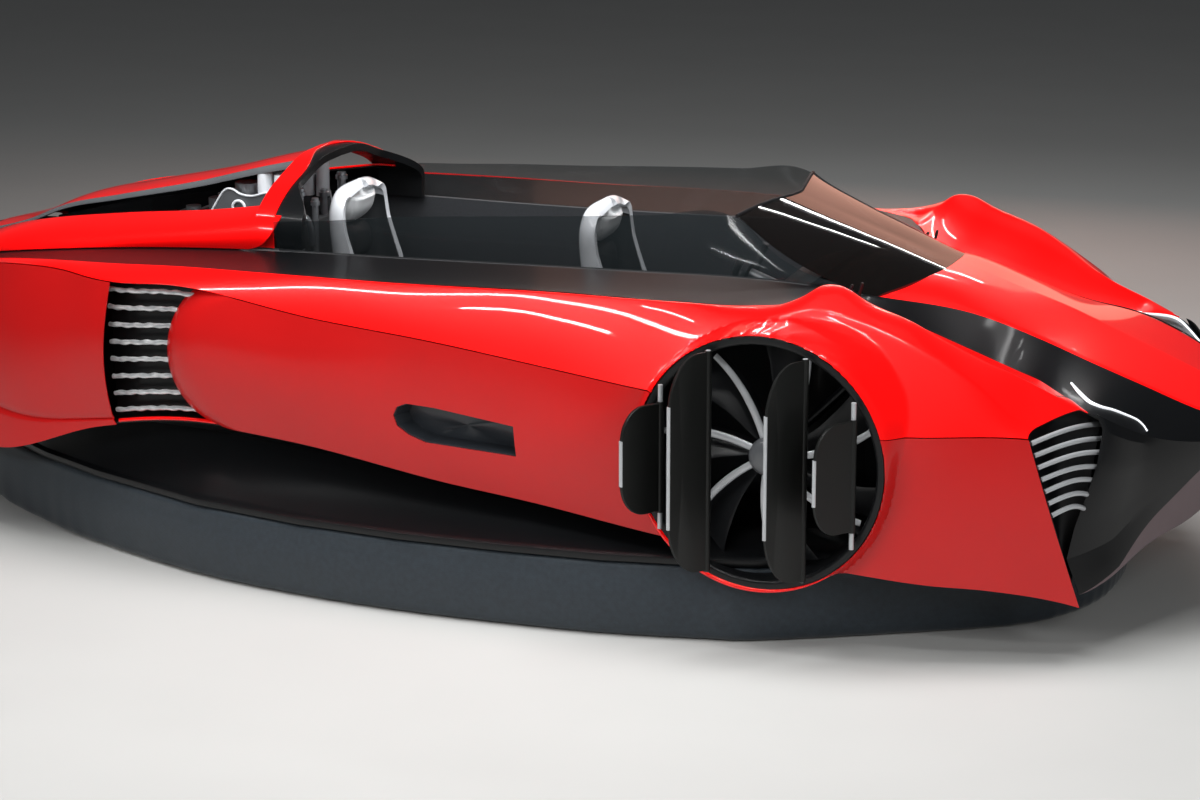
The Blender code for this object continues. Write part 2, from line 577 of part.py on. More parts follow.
def build_pods(hulls):
    """Pods, waist strips and rear vents on both sides; gives back each side's pod solids."""
    pods = {}
    for tag, side in (("left", 1), ("right", -1)):
        low = loft(f"pod_side_{tag}", stations(VENT_FRONT, POD_NOSE), low_pod, DARK_RED, side)
        high = loft(f"pod_top_{tag}", stations(-2.60, POD_NOSE), high_pod, RED, side)
        loft(f"waist_strip_{tag}", stations(-2.60, POD_NOSE), strip_section, BLACK, side)
        loft(f"rear_side_{tag}", stations(-2.60, VENT_REAR - SEAM), low_pod, DARK_RED, side)
        loft(f"rear_vent_well_{tag}", stations(VENT_REAR, VENT_FRONT - SEAM), vent_well, BLACK, side)
        bore = extruded(f"duct_cutter_{tag}", duct_circle(DUCT_R + DUCT_WALL + GAP),
                        side * (DUCT_BACK - GAP), side * 1.5, GREY)
        for target in (low, high, *hulls):
            cut(target, bore)
        cut(low, extruded(f"slot_cutter_{tag}", SLOT, *sorted(side * y for y in SLOT_Y), BLACK))
        lip_stations = [LIP_REAR, *(x for x in STATIONS if LIP_REAR < x <= VENT_FRONT), VENT_FRONT + 0.006]
        lip = loft(f"pod_lip_{tag}", lip_stations, lip_section, DARK_RED, side)
        cut(lip, lip_cutter(tag, side))
        cut(low, lip, "UNION")
        rear_grille(tag, side)
        pods[tag] = (low, high)
    return pods


def lip_cutter(tag, side):
    """Block behind the pod's side with a half ellipse left out of it."""
    x, rx, z, rz = LIP_ROUND
    arc = [(x - rx * math.cos(a), z + rz * math.sin(a))
           for a in np.linspace(-math.pi / 2, math.pi / 2, 17)]
    outline = [(x, z - 2 * rz), *arc, (x, z + 2 * rz), (x - 2 * rx, z + 2 * rz), (x - 2 * rx, z - 2 * rz)]
    return extruded(f"lip_cutter_{tag}", outline, side * 0.9, side * 1.3, DARK_RED)


def rear_grille(tag, side):
    """Silver bars across the gap behind a pod."""
    def place(u, v, w):
        x = VENT_REAR + 0.004 + u * (VENT_FRONT - VENT_REAR - 0.008)
        top, foot = line("crease", x), line("flank", x)
        z = foot[1] + 0.02 + v * (top[1] - foot[1] - 0.05)
        t = (z - foot[1]) / (top[1] - foot[1])
        y = foot[0] + t * (top[0] - foot[0]) - VENT_INSET + GAP * 2 + BAR_DEPTH * w
        return x, side * y, z
    ladder(f"rear_grille_{tag}", REAR_BARS, place, SILVER, BAR_SHARE)


def build_centre():
    tub = loft("cockpit_tub", stations(TUB_REAR, TUB_FRONT), tub_outer, GREY)
    cut(tub, loft("tub_cutter", stations(TUB_REAR + TUB_END, TUB_FRONT - TUB_END), tub_inner, GREY))
    bay = loft("engine_bay", stations(-2.60, TUB_REAR - SEAM), tub_outer, GREY)
    cut(bay, loft("bay_cutter", stations(-2.70, TUB_REAR - 0.03), bay_inner, GREY))
    loft("foredeck", stations(TUB_FRONT + SEAM, POD_NOSE), fore_section, BLACK)
    bonnet = loft("bonnet", stations(1.07, BOW), bonnet_section, RED)
    edge = [(foot_x(y), y) for y in np.linspace(-GLASS_TIP, GLASS_TIP, 2 * GLASS_COLUMNS + 1)]
    outline = [(0.9, -0.8), (edge[0][0], -0.8), *edge, (edge[-1][0], 0.8), (0.9, 0.8)]
    n = len(outline)
    verts = [(x, y, z) for z in (0.9, 1.4) for x, y in outline]
    faces = [tuple(range(n)), tuple(range(n, 2 * n))]
    faces += [(j, (j + 1) % n, n + (j + 1) % n, n + j) for j in range(n)]
    cut(bonnet, add_mesh("bonnet_cutter", verts, faces, RED))
    loft("nose", stations(POD_NOSE + SEAM, BOW), nose_section, BLACK)
    for tag, side in (("left", 1), ("right", -1)):
        light_blade(tag, side)
    tail = loft("tail_panel", [STERN, -2.60 - SEAM], tail_section, BLACK)
    half, foot, top = TAIL_LAMP
    cut(tail, box("tail_lamp_cutter", (STERN - 0.02, -half - GAP, foot - GAP),
                  (STERN + LAMP_DEPTH + GAP, half + GAP, top + GAP), BLACK))
    box("tail_lamp", (STERN, -half, foot), (STERN + LAMP_DEPTH, half, top), TAIL)
    loft("spine", stations(-2.60, ARCH_REAR - SEAM), spine_section, RED)
    for tag, side in (("left", 1), ("right", -1)):
        loft(f"rail_{tag}", stations(-2.60, ARCH_REAR - SEAM), rail_section, GREY, side)
        loft(f"shoulder_{tag}", stations(-2.60, ARCH_REAR - SEAM), shoulder_section, RED, side)
        loft(f"side_glass_{tag}", stations(GLASS_REAR, 1.08), glass_section, TINT, side)


def light_blade(tag, side):
    """Slim lamp that lies on the deck, raised along its middle."""
    xs = np.union1d(np.arange(LIGHT[0, 0], LIGHT[-1, 0], LIGHT_STEP),
                    [x for x in STATIONS if LIGHT[0, 0] < x < LIGHT[-1, 0]])
    rows = []
    for x in xs:
        y, half = (np.interp(x, LIGHT[:, 0], LIGHT[:, k]) for k in (1, 2))
        for dy, rise in ((-half, 0), (half, 0), (half, LIGHT_TALL / 2), (0, LIGHT_TALL),
                         (-half, LIGHT_TALL / 2)):
            rows.append((x, side * (y + dy), deck_height(x, y + dy) + LIGHT_SEAT + rise))
    n, m = 5, len(xs)
    faces = [tuple(range(n)), tuple(range((m - 1) * n, m * n))]
    faces += [(i * n + j, i * n + (j + 1) % n, (i + 1) * n + (j + 1) % n, (i + 1) * n + j)
              for i in range(m - 1) for j in range(n)]
    add_mesh(f"light_blade_{tag}", rows, faces, LAMP)


def build_windshield():
    """Curved glass in two halves that meet at a ridge; its foot follows the bonnet's edge."""
    ridge = np.array([(0.792, 0, 1.384), (0.99, 0, 1.312), (1.19, 0, 1.240),
                      (GLASS_APEX - SEAM, 0, 1.172)])
    tip = 0.96 * GLASS_TIP
    pillar = np.array([(0.703, 0.452, 1.381), (0.87, 0.466, 1.262), (1.02, 0.440, 1.180),
                       (foot_x(tip) - SEAM, tip, 1.125)])
    top = []
    for row, (start, stop) in enumerate(zip(ridge, pillar)):
        power = 1.2 + (FOOT_POWER - 1.2) * (row / 3) ** 2
        for k in range(-GLASS_COLUMNS, GLASS_COLUMNS + 1):
            v = abs(k) / GLASS_COLUMNS
            y = stop[1] * k / GLASS_COLUMNS
            x = foot_x(y) - SEAM if row == 3 else start[0] + (stop[0] - start[0]) * v**power
            top.append((x, y, start[2] + (stop[2] - start[2]) * v**1.6 + 0.012 * math.sin(math.pi * v)))
    verts = top + [(x, y, z - GLASS) for x, y, z in top]
    wide, n = 2 * GLASS_COLUMNS + 1, len(top)
    faces = []
    for i in range(3):
        for j in range(wide - 1):
            a, b, c, d = wide * i + j, wide * i + j + 1, wide * (i + 1) + j + 1, wide * (i + 1) + j
            split = [(a, b, c), (a, c, d)] if j >= GLASS_COLUMNS else [(a, b, d), (b, c, d)]
            faces += split + [tuple(n + k for k in f) for f in split]
    rim = [*range(wide), 2 * wide - 1, 3 * wide - 1, *range(n - 1, n - wide - 1, -1), 2 * wide, wide]
    faces += [(a, b, n + b, n + a) for a, b in zip(rim, rim[1:] + rim[:1])]
    add_mesh("windshield", verts, faces, TINT)


def arch_points(inset):
    """Half outline of the arch from the crown down to the rim, moved in by inset."""
    along = np.gradient(ARCH, axis=0)
    normal = np.stack([-along[:, 1], along[:, 0]], 1) / np.linalg.norm(along, axis=1)[:, None]
    moved = ARCH - normal * inset
    moved[0, 0] = 0
    moved[-1, 1] = ARCH[-1, 1]
    return moved


def build_arch():
    """Red hoop behind the cockpit, with a dark lining inside it."""
    for name, start, stop, outer, inner, spec in (
            ("arch", ARCH_REAR, ARCH_FRONT, 0.0, HOOP, RED),
            ("arch_lining", ARCH_REAR, LINING_FRONT, HOOP + GAP, LINING, BLACK)):
        over, under = arch_points(outer), arch_points(inner)
        ring = [*over, *under[::-1], *(under * (-1, 1))[1:], *(over * (-1, 1))[:0:-1]]
        n = len(ring)
        verts = [(x, y, z) for x in (start, stop) for y, z in ring]
        faces = [tuple(range(n)), tuple(range(n, 2 * n))]
        faces += [(j, (j + 1) % n, n + (j + 1) % n, n + j) for j in range(n)]
        add_mesh(name, verts, faces, spec)


def build_front_vents(pods):
    """Raked front end of each pod, with silver bars across its upper part."""
    top, foot, inner = (Vector(p) for p in FRONT_PLANE)
    normal = (inner - top).cross(foot - top).normalized()
    axis = normal.to_track_quat("X", "Z").to_matrix()
    corners = [top + axis @ Vector((x, y, z)) for x in (0, 0.6) for y in (-0.8, 0.8)
               for z in (-0.9, 0.9)]
    faces = [(0, 1, 3, 2), (4, 6, 7, 5), (0, 4, 5, 1), (2, 3, 7, 6), (0, 2, 6, 4), (1, 5, 7, 3)]
    for tag, side in (("left", 1), ("right", -1)):
        cutter = add_mesh(f"front_cutter_{tag}", [(x, side * y, z) for x, y, z in corners], faces, RED)
        for pod in pods[tag]:
            cut(pod, cutter)

        def place(u, v, w):
            start = top.lerp(foot, 0.55 - 0.47 * v) + Vector((0.004, -0.02, 0))
            stop = Vector((2.0, 0.735 + 0.035 * v, 0.49 + 0.32 * v))
            p = start.lerp(stop, u)
            p -= normal * (p - top).dot(normal)
            p += normal * (GAP + (FRONT_BAR_DEPTH + FRONT_BAR_BOW * math.sin(math.pi * u)) * w)
            return p.x, side * p.y, p.z
        ladder(f"front_grille_{tag}", FRONT_BARS, place, SILVER, BAR_SHARE)


def build_seats():
    """Bucket seats: a bent shell cut to a round head, hollowed, on a plinth."""
    for name, x0, top in SEATS:
        z0 = top - SEAT_TALL
        seat = extruded(name, [(x0 + x, z0 + z) for x, z in SEAT_SIDE], -SEAT_HALF, SEAT_HALF, WHITE)
        rounds = [(SEAT_HALF * math.cos(a), top - SEAT_HALF + SEAT_HALF * math.sin(a))
                  for a in np.linspace(0, math.pi, 13)]
        front = [(-SEAT_HALF, z0 - 0.05), (SEAT_HALF, z0 - 0.05), *rounds]
        n = len(front)
        verts = [(x, y, z) for x in (x0 - 0.4, x0 + 0.8) for y, z in front]
        faces = [tuple(range(n)), tuple(range(n, 2 * n))]
        faces += [(j, (j + 1) % n, n + (j + 1) % n, n + j) for j in range(n)]
        cut(seat, add_mesh(f"{name}_guide", verts, faces, WHITE), "INTERSECT")
        floor = max(line("tuck", x0 + d)[1] for d in PLINTH_X) + TUB_WALL + GAP
        plinth = box(f"{name}_base", (x0 + PLINTH_X[0], -PLINTH_HALF, floor),
                     (x0 + PLINTH_X[1], PLINTH_HALF, z0 + PLINTH_TOP), GREY)
        cut(seat, plinth, "UNION")
        hollow = [(x0 + x, z0 + z) for x, z in SEAT_HOLLOW]
        cut(seat, extruded(f"{name}_hollow", hollow, -SEAT_BOWL, SEAT_BOWL, WHITE))


def build_controls():
    """Dash with the steering column, and the yoke on the column's end."""
    dash = box("dash", (DASH_REAR, -DASH_HALF, DASH_Z[0]),
               (TUB_FRONT - TUB_END - GAP, DASH_HALF, DASH_Z[1]), BLACK)
    axis = Vector(COLUMN_AXIS).normalized()
    end = Vector((COLUMN_END[0], 0, COLUMN_END[1]))
    reach = (DASH_REAR + 0.03 - end.x) / -axis.x
    column = cylinder("steering_column", end - axis * reach, end, COLUMN_R, GREY, 12)
    cut(dash, column, "UNION")
    start = end + axis * GAP
    hub = cylinder("steering_yoke", start, start + axis * YOKE_THICK, YOKE_R, BLACK, 16)
    middle = start + axis * YOKE_THICK / 2
    up = Vector((0, 1, 0)).cross(axis)
    for k in (-1, 1):
        tip = middle + Vector((0, k * GRIP_OUT, 0))
        grip = cylinder(f"grip_{k + 1}", tip - up * GRIP_LOW, tip + up * GRIP_HIGH, GRIP_R, BLACK, 10)
        arm = cylinder(f"arm_{k + 1}", middle, tip, ARM_R, BLACK, 10)
        cut(hub, arm, "UNION")
        cut(hub, grip, "UNION")


def build_engine():
    floor = BAY_FLOOR + GAP
    block = box("engine_block", (BLOCK_X[0], -BLOCK_HALF, floor), (BLOCK_X[1], BLOCK_HALF, BLOCK_TOP), CAST)
    for k in range(FINS):
        x = FIN_FIRST + FIN_PITCH * k
        fin = box(f"fin_{k}", (x, -FIN_HALF, PIPE_FOOT), (x + FIN_THICK, FIN_HALF, FIN_TOP), CAST)
        cut(block, fin, "UNION")
    for tag, side in (("left", 1), ("right", -1)):
        for k, (x, radius, top) in enumerate(INTAKES):
            pipe = cylinder(f"intake_{tag}_{k}", (x, side * INTAKE_Y, PIPE_FOOT),
                            (x, side * INTAKE_Y, top), radius, CAST, 20)
            cut(block, pipe, "UNION")


def build_duct(tag, side):
    outer = DUCT_R + DUCT_WALL
    ring = turned(f"duct_{tag}",
                  [(DUCT_R, DUCT_BACK), (outer, DUCT_BACK), (outer, DUCT_FACE), (DUCT_R, DUCT_FACE)],
                  side, BLACK)
    radius, half = STATOR_HUB
    hub = cylinder(f"stator_hub_{tag}", (DUCT_X, side * (STATOR_Y - half), DUCT_Z),
                   (DUCT_X, side * (STATOR_Y + half), DUCT_Z), radius, GREY, 24)
    cut(ring, hub, "UNION")
    for k in range(STRUTS):
        a = 2 * math.pi * (k + 0.5) / STRUTS
        end = (DUCT_X + math.cos(a) * (DUCT_R + 0.01), side * STATOR_Y,
               DUCT_Z + math.sin(a) * (DUCT_R + 0.01))
        strut = cylinder(f"stator_{tag}_{k}", (DUCT_X, side * STATOR_Y, DUCT_Z), end, STRUT_R, GREY, 8)
        cut(ring, strut, "UNION")
    for k, offset in enumerate(VANE_OFFSETS):
        half = math.sqrt((DUCT_R + DUCT_WALL / 2) ** 2 - offset**2)
        for end in (-1, 1):
            z = DUCT_Z + end * half
            y0, y1 = sorted((side * (DUCT_FACE - 0.01), side * (VANE_Y + LUG_OUT)))
            z0, z1 = sorted((z, z + end * LUG))
            lug = box(f"lug_{tag}_{k}_{end + 1}", (DUCT_X + offset - LUG_HALF, y0, z0),
                      (DUCT_X + offset + LUG_HALF, y1, z1), GREY)
            cut(ring, lug, "UNION")


def blade_ring(angle, radius, twist, chord, thick):
    """Four corners of a blade's section, in the order of a hub side's corners."""
    out = np.array((math.cos(angle), math.sin(angle), 0))
    around = np.array((-math.sin(angle), math.cos(angle), 0))
    t = math.radians(twist)
    wide = around * math.cos(t) + np.array((0, 0, math.sin(t)))
    deep = np.array((0, 0, math.cos(t))) - around * math.sin(t)
    return [out * radius + wide * a * chord / 2 + deep * b * thick / 2
            for a, b in ((-1, -1), (1, -1), (1, 1), (-1, 1))]


def build_fan(tag, side):
    """Hub whose every other side face runs out into a twisted blade."""
    steps = 2 * FAN_BLADES
    rim = [(HUB_R * math.cos(2 * math.pi * (k - 0.5) / steps),
            HUB_R * math.sin(2 * math.pi * (k - 0.5) / steps)) for k in range(steps)]
    verts = [(x, y, z) for z in (-HUB_HALF, HUB_HALF) for x, y in rim]
    faces = [tuple(range(steps)), tuple(range(steps, 2 * steps))]
    for k in range(steps):
        m = (k + 1) % steps
        ring = [k, m, steps + m, steps + k]
        if k % 2:
            faces.append(tuple(ring))
            continue
        for radius, twist, chord, thick in BLADE:
            outer = range(len(verts), len(verts) + 4)
            verts += blade_ring(2 * math.pi * k / steps, radius, twist, chord, thick)
            faces += [(ring[j], ring[(j + 1) % 4], outer[(j + 1) % 4], outer[j]) for j in range(4)]
            ring = list(outer)
        faces.append(tuple(ring))
    place = Matrix.Translation((DUCT_X, side * FAN_Y, DUCT_Z)) @ Matrix.Rotation(
        -side * math.pi / 2, 4, "X")
    fan = add_mesh(f"fan_{tag}", [place @ Vector(v) for v in verts], faces, SILVER)
    shaft = cylinder(f"fan_shaft_{tag}", (DUCT_X, side * (STATOR_Y + STATOR_HUB[1] + GAP), DUCT_Z),
                     (DUCT_X, side * FAN_Y, DUCT_Z), FAN_SHAFT_R, SILVER, 16)
    cut(fan, shaft, "UNION")


def build_vanes(tag, side):
    """Plate on a vertical shaft at its front edge, opened rearward and outboard."""
    turn = Matrix.Rotation(math.radians(-side * VANE_ANGLE), 4, "Z")
    for k, offset in enumerate(VANE_OFFSETS):
        half = math.sqrt((DUCT_R + DUCT_WALL / 2) ** 2 - offset**2)
        tall = half - VANE_SHORT[abs(offset) > DUCT_R / 2]
        r = VANE_ROUND
        place = Matrix.Translation((DUCT_X + offset, side * VANE_Y, DUCT_Z)) @ turn
        outline = [(VANE_LEAD, -tall), (VANE_LEAD, tall), (-VANE_CHORD + r, tall),
                   (-VANE_CHORD + 0.3 * r, tall - 0.3 * r), (-VANE_CHORD, tall - r),
                   (-VANE_CHORD, -tall + r), (-VANE_CHORD + 0.3 * r, -tall + 0.3 * r),
                   (-VANE_CHORD + r, -tall)]
        vane = extruded(f"vane_{tag}_{k + 1}", outline, -VANE_THICK / 2, VANE_THICK / 2, PLATE, place)
        shaft = cylinder(f"vane_shaft_{tag}_{k}", (DUCT_X + offset, side * VANE_Y, DUCT_Z - half + GAP),
                         (DUCT_X + offset, side * VANE_Y, DUCT_Z + half - GAP), SHAFT_R, SILVER, 12)
        cut(vane, shaft, "UNION")


def main():
    for old in list(bpy.data.objects):
        bpy.data.objects.remove(old)
    hulls = build_hull()
    pods = build_pods(hulls)
    build_front_vents(pods)
    build_centre()
    build_windshield()
    build_arch()
    build_seats()
    build_controls()
    build_engine()
    for tag, side in (("left", 1), ("right", -1)):
        build_duct(tag, side)
        build_fan(tag, side)
        build_vanes(tag, side)


main()
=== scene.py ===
"""Looks of a sports hovercraft: lacquered panels, tinted glass, ducted fans behind
turning vanes, bucket seats and a fabric skirt, worked out as surfaces on grids.

Metres, +X to the bow, +Y to port, +Z up. Each surface function works on the port
side; a side of -1 mirrors it to starboard.
"""
import json
import math

import bpy
import numpy as np
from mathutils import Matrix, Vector


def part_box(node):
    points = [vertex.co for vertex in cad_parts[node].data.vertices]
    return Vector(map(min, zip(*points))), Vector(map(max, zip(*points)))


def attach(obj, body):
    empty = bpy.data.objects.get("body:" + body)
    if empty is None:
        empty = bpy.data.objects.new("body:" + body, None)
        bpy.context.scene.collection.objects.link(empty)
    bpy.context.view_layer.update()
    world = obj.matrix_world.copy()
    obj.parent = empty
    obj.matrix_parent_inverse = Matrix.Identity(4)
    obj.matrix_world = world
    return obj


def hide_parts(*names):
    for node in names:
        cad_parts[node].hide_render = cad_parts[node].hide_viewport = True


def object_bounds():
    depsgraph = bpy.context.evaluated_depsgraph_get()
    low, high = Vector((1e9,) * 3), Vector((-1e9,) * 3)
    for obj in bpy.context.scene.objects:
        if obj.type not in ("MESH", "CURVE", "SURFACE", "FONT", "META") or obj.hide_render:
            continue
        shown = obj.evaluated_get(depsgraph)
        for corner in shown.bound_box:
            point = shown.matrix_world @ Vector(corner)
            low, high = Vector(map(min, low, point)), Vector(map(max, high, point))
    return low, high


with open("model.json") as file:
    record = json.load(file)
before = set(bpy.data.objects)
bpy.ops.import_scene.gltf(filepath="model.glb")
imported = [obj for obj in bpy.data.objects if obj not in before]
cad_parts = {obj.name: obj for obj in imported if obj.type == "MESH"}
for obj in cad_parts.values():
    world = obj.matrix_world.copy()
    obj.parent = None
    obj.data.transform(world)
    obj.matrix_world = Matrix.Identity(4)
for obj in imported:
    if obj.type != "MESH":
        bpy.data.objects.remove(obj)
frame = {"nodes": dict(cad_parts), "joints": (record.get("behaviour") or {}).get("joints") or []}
cad_low, cad_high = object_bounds()

BOW = cad_high.x
SEAM = 0.0025            # gap between neighbouring panels that the eye can see
WALL = 0.005             # thickness of a lacquered body panel
POD_REAR = -2.60
ARCH_REAR = -1.172       # rear edge of the roll arch
POD_NOSE = 2.07

# The ducts' sizes come from the frame: the fan's joint gives the axis.
FAN_JOINT = next(j for j in frame["joints"] if j["name"] == "fan_left_spin")
DUCT_X, FAN_Y, DUCT_Z = FAN_JOINT["pos_m"]
DUCT_WALL = 0.03
DUCT_OUT = (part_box("duct_left")[1].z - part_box("duct_left")[0].z) / 2
DUCT_R = DUCT_OUT - DUCT_WALL
DUCT_FACE = 1.17         # |Y| of the duct's outer rim
DUCT_BACK = 0.80
LIP = 0.002              # gap between the duct's ring and the body round it
COLLAR = 0.10            # reach of the collar that lifts the body to the duct's rim, at the bow
COLLAR_AFT = 0.016       # reach of the collar round the rest of the duct
FAN_BLADES = 7
BLADE_GAP = 0.025        # from a blade's tip to the duct's bore
VANE_JOINTS = [j for j in frame["joints"] if j["name"].startswith("vane_left")]
VANE_ANGLE = 55.0        # degrees between a vane and the duct's face at rest
VANE_CHORD = 0.165
VANE_HALF = 0.007        # half the thickness of a vane's plate
OUTER_VANE = 0.3         # distance from the duct's axis beyond which a vane is an outer one
MIDDLE_SHORT, OUTER_SHORT = 0.008, 0.065    # how far a plate's ends stay inside the rim

VENT_REAR = -1.515       # front edge of the rear flank, where the vent's gap begins
BULLET = -1.29           # rearmost point of the main flank, at mid height
BULLET_ROUND = 0.18      # how far that end's half circle draws the top and the foot forward
BULLET_CURL = (0.16, 0.085)     # length over which the end curls in toward the vent, and how far
REAR_BARS = 8
SLAT_R, BAR_R = 0.0082, 0.0088  # radius of the rear and the front vents' bars
GLASS_REAR = -1.055      # rear edge of the side windows
SEAT_TALL = 0.77
# Corners of the pods' raked front end: outer top, outer foot, inner top.
FRONT_PLANE = np.array([(1.91, 0.985, 0.82), (2.095, 0.92, 0.21), (2.07, 0.77, 0.86)])

# Plan outline of the skirt's hem on the port side: x, half-width.
HEM = np.array([
    (-2.58, 0.00), (-2.545, 0.22), (-2.40, 0.46), (-2.03, 0.712), (-1.71, 0.877),
    (-1.17, 1.09), (-0.71, 1.185), (-0.30, 1.222), (0.09, 1.221), (0.46, 1.198),
    (0.81, 1.134), (1.00, 1.082), (1.38, 0.867), (1.80, 0.594), (1.95, 0.40),
    (2.02, 0.20), (2.035, 0.0)])

# Long lines of the body on the port side: x, y, z, from the stern to the bow.
LINE = {
    "ridge": [(-2.64, 0, 1.03), (-2.36, 0, 1.11), (-2.22, 0, 1.17), (-1.95, 0, 1.235),
              (-1.59, 0, 1.315), (-1.33, 0, 1.385), (-1.14, 0, 1.43)],
    "rail": [(-2.64, 0.16, 1.02), (-2.36, 0.19, 1.10), (-2.22, 0.195, 1.16),
             (-1.95, 0.20, 1.225), (-1.59, 0.20, 1.305), (-1.33, 0.20, 1.375),
             (-1.14, 0.20, 1.42)],
    "bonnet": [(0.95, 0, 1.16), (1.396, 0, 1.173), (1.624, 0, 1.103), (1.801, 0, 1.045),
               (2.007, 0, 0.962), (2.301, 0, 0.842), (2.64, 0, 0.69)],
    "window": [(-2.64, 0.30, 1.00), (-2.24, 0.44, 1.14), (-1.78, 0.46, 1.213),
               (-1.41, 0.46, 1.251), (-1.14, 0.46, 1.29)],
    "shoulder": [(-2.64, 0.40, 0.985), (-2.26, 0.56, 1.112), (-1.78, 0.60, 1.165),
                 (-1.40, 0.61, 1.205), (-1.14, 0.61, 1.235)],
    "glass": [(-1.10, 0.655, 1.262), (-0.84, 0.629, 1.279), (-0.61, 0.585, 1.301),
              (-0.26, 0.549, 1.323), (0.125, 0.528, 1.348), (0.39, 0.498, 1.365),
              (0.68, 0.465, 1.378), (0.72, 0.463, 1.360), (0.86, 0.48, 1.25),
              (1.00, 0.455, 1.176), (1.08, 0.44, 1.158)],
    "edge": [(-2.64, 0.44, 0.97), (-2.2, 0.62, 1.06), (-1.6, 0.63, 1.12),
             (-1.11, 0.611, 1.142), (-0.55, 0.58, 1.148), (0.0, 0.556, 1.157),
             (0.41, 0.556, 1.166), (0.69, 0.555, 1.172), (0.95, 0.50, 1.155),
             (1.20, 0.40, 1.112), (1.56, 0.35, 1.064), (1.80, 0.355, 0.994),
             (2.01, 0.42, 0.938), (2.185, 0.405, 0.871), (2.37, 0.33, 0.782),
             (2.64, 0.11, 0.668)],
    "sill": [(-2.64, 0.48, 0.96), (-2.05, 0.80, 1.075), (-1.6, 0.95, 1.125),
             (-1.25, 1.00, 1.148), (-0.90, 1.014, 1.155), (-0.37, 1.011, 1.16),
             (0.205, 0.994, 1.172), (0.64, 0.953, 1.164), (0.90, 0.874, 1.153),
             (1.00, 0.80, 1.150), (1.08, 0.66, 1.140), (1.16, 0.54, 1.110),
             (1.24, 0.48, 1.075), (1.34, 0.45, 1.035), (1.55, 0.43, 0.955),
             (1.74, 0.44, 0.890), (1.84, 0.51, 0.878), (1.91, 0.60, 0.874),
             (1.99, 0.70, 0.868), (2.07, 0.77, 0.850), (2.24, 0.60, 0.745),
             (2.64, 0.115, 0.655)],
    "brow": [(-2.64, 0.495, 0.958), (-2.05, 0.812, 1.078), (-1.75, 0.92, 1.112),
             (-1.6, 0.96, 1.1235),
             (-1.25, 1.01, 1.1465), (-0.90, 1.024, 1.152), (-0.37, 1.021, 1.1545),
             (0.205, 1.005, 1.1645), (0.64, 0.967, 1.158), (0.90, 0.905, 1.151),
             (1.04, 0.875, 1.158), (1.09, 0.87, 1.19), (1.15, 0.87, 1.237),
             (1.21, 0.87, 1.243), (1.315, 0.875, 1.195),
             (1.485, 0.875, 1.133), (1.59, 0.86, 1.075), (1.69, 0.82, 1.018),
             (1.80, 0.79, 0.966), (1.95, 0.785, 0.903), (2.07, 0.78, 0.848)],
    "crest": [(-2.64, 0.52, 0.956), (-2.05, 0.845, 1.082), (-1.75, 0.955, 1.110),
              (-1.6, 1.015, 1.107),
              (-1.25, 1.06, 1.125), (-0.6, 1.075, 1.10), (0.0, 1.07, 1.085),
              (0.5, 1.06, 1.065), (0.80, 1.03, 1.08), (0.92, 1.02, 1.11),
              (1.03, 1.01, 1.15), (1.16, 0.985, 1.178), (1.32, 0.975, 1.153), (1.46, 0.97, 1.103),
              (1.60, 0.965, 1.037), (1.73, 0.96, 0.958), (1.86, 0.955, 0.855),
              (2.07, 0.88, 0.80)],
    "crease": [(-2.64, 0.55, 0.945), (-2.05, 0.885, 1.078), (-1.76, 0.985, 1.095),
               (-1.6, 1.045, 1.087), (-1.5, 1.072, 1.086),
               (-1.25, 1.10, 1.10), (-0.66, 1.12, 1.028), (-0.19, 1.13, 0.985),
               (0.23, 1.14, 0.935), (0.59, 1.155, 0.893), (1.035, 1.16, 0.85),
               (1.44, 1.12, 0.80), (1.90, 0.99, 0.80), (2.07, 0.93, 0.78), (2.12, 0.91, 0.775)],
    "flank": [(-2.64, 0.58, 0.34), (-2.05, 0.90, 0.37), (-1.6, 1.02, 0.52),
              (-1.25, 1.06, 0.575), (-0.80, 1.08, 0.556), (-0.16, 1.09, 0.464),
              (0.164, 1.10, 0.43), (0.617, 1.135, 0.376), (1.035, 1.15, 0.33),
              (1.29, 1.12, 0.307), (1.61, 1.08, 0.279), (1.80, 1.02, 0.265),
              (2.07, 0.925, 0.215), (2.12, 0.91, 0.20)],
    "keel": [(1.76, 0.86, 0.30), (2.00, 0.83, 0.215), (2.07, 0.80, 0.215), (2.15, 0.72, 0.255),
             (2.24, 0.54, 0.335), (2.35, 0.34, 0.39), (2.45, 0.22, 0.48), (2.64, 0.05, 0.62)],
    "tuck": [(-2.64, 0.30, 0.40), (-2.05, 0.66, 0.45), (-1.6, 0.82, 0.50),
             (-1.25, 0.88, 0.51), (-0.80, 0.92, 0.49), (-0.16, 0.95, 0.42),
             (0.617, 0.95, 0.38), (1.035, 0.88, 0.37), (1.29, 0.80, 0.365),
             (1.61, 0.62, 0.36), (1.80, 0.52, 0.36), (2.07, 0.40, 0.36)],
}
LINE = {name: np.array(rows, float) for name, rows in LINE.items()}
SLOPE = {name: np.gradient(rows[:, 1:], rows[:, 0], axis=0) for name, rows in LINE.items()}


# Arrays and meshes

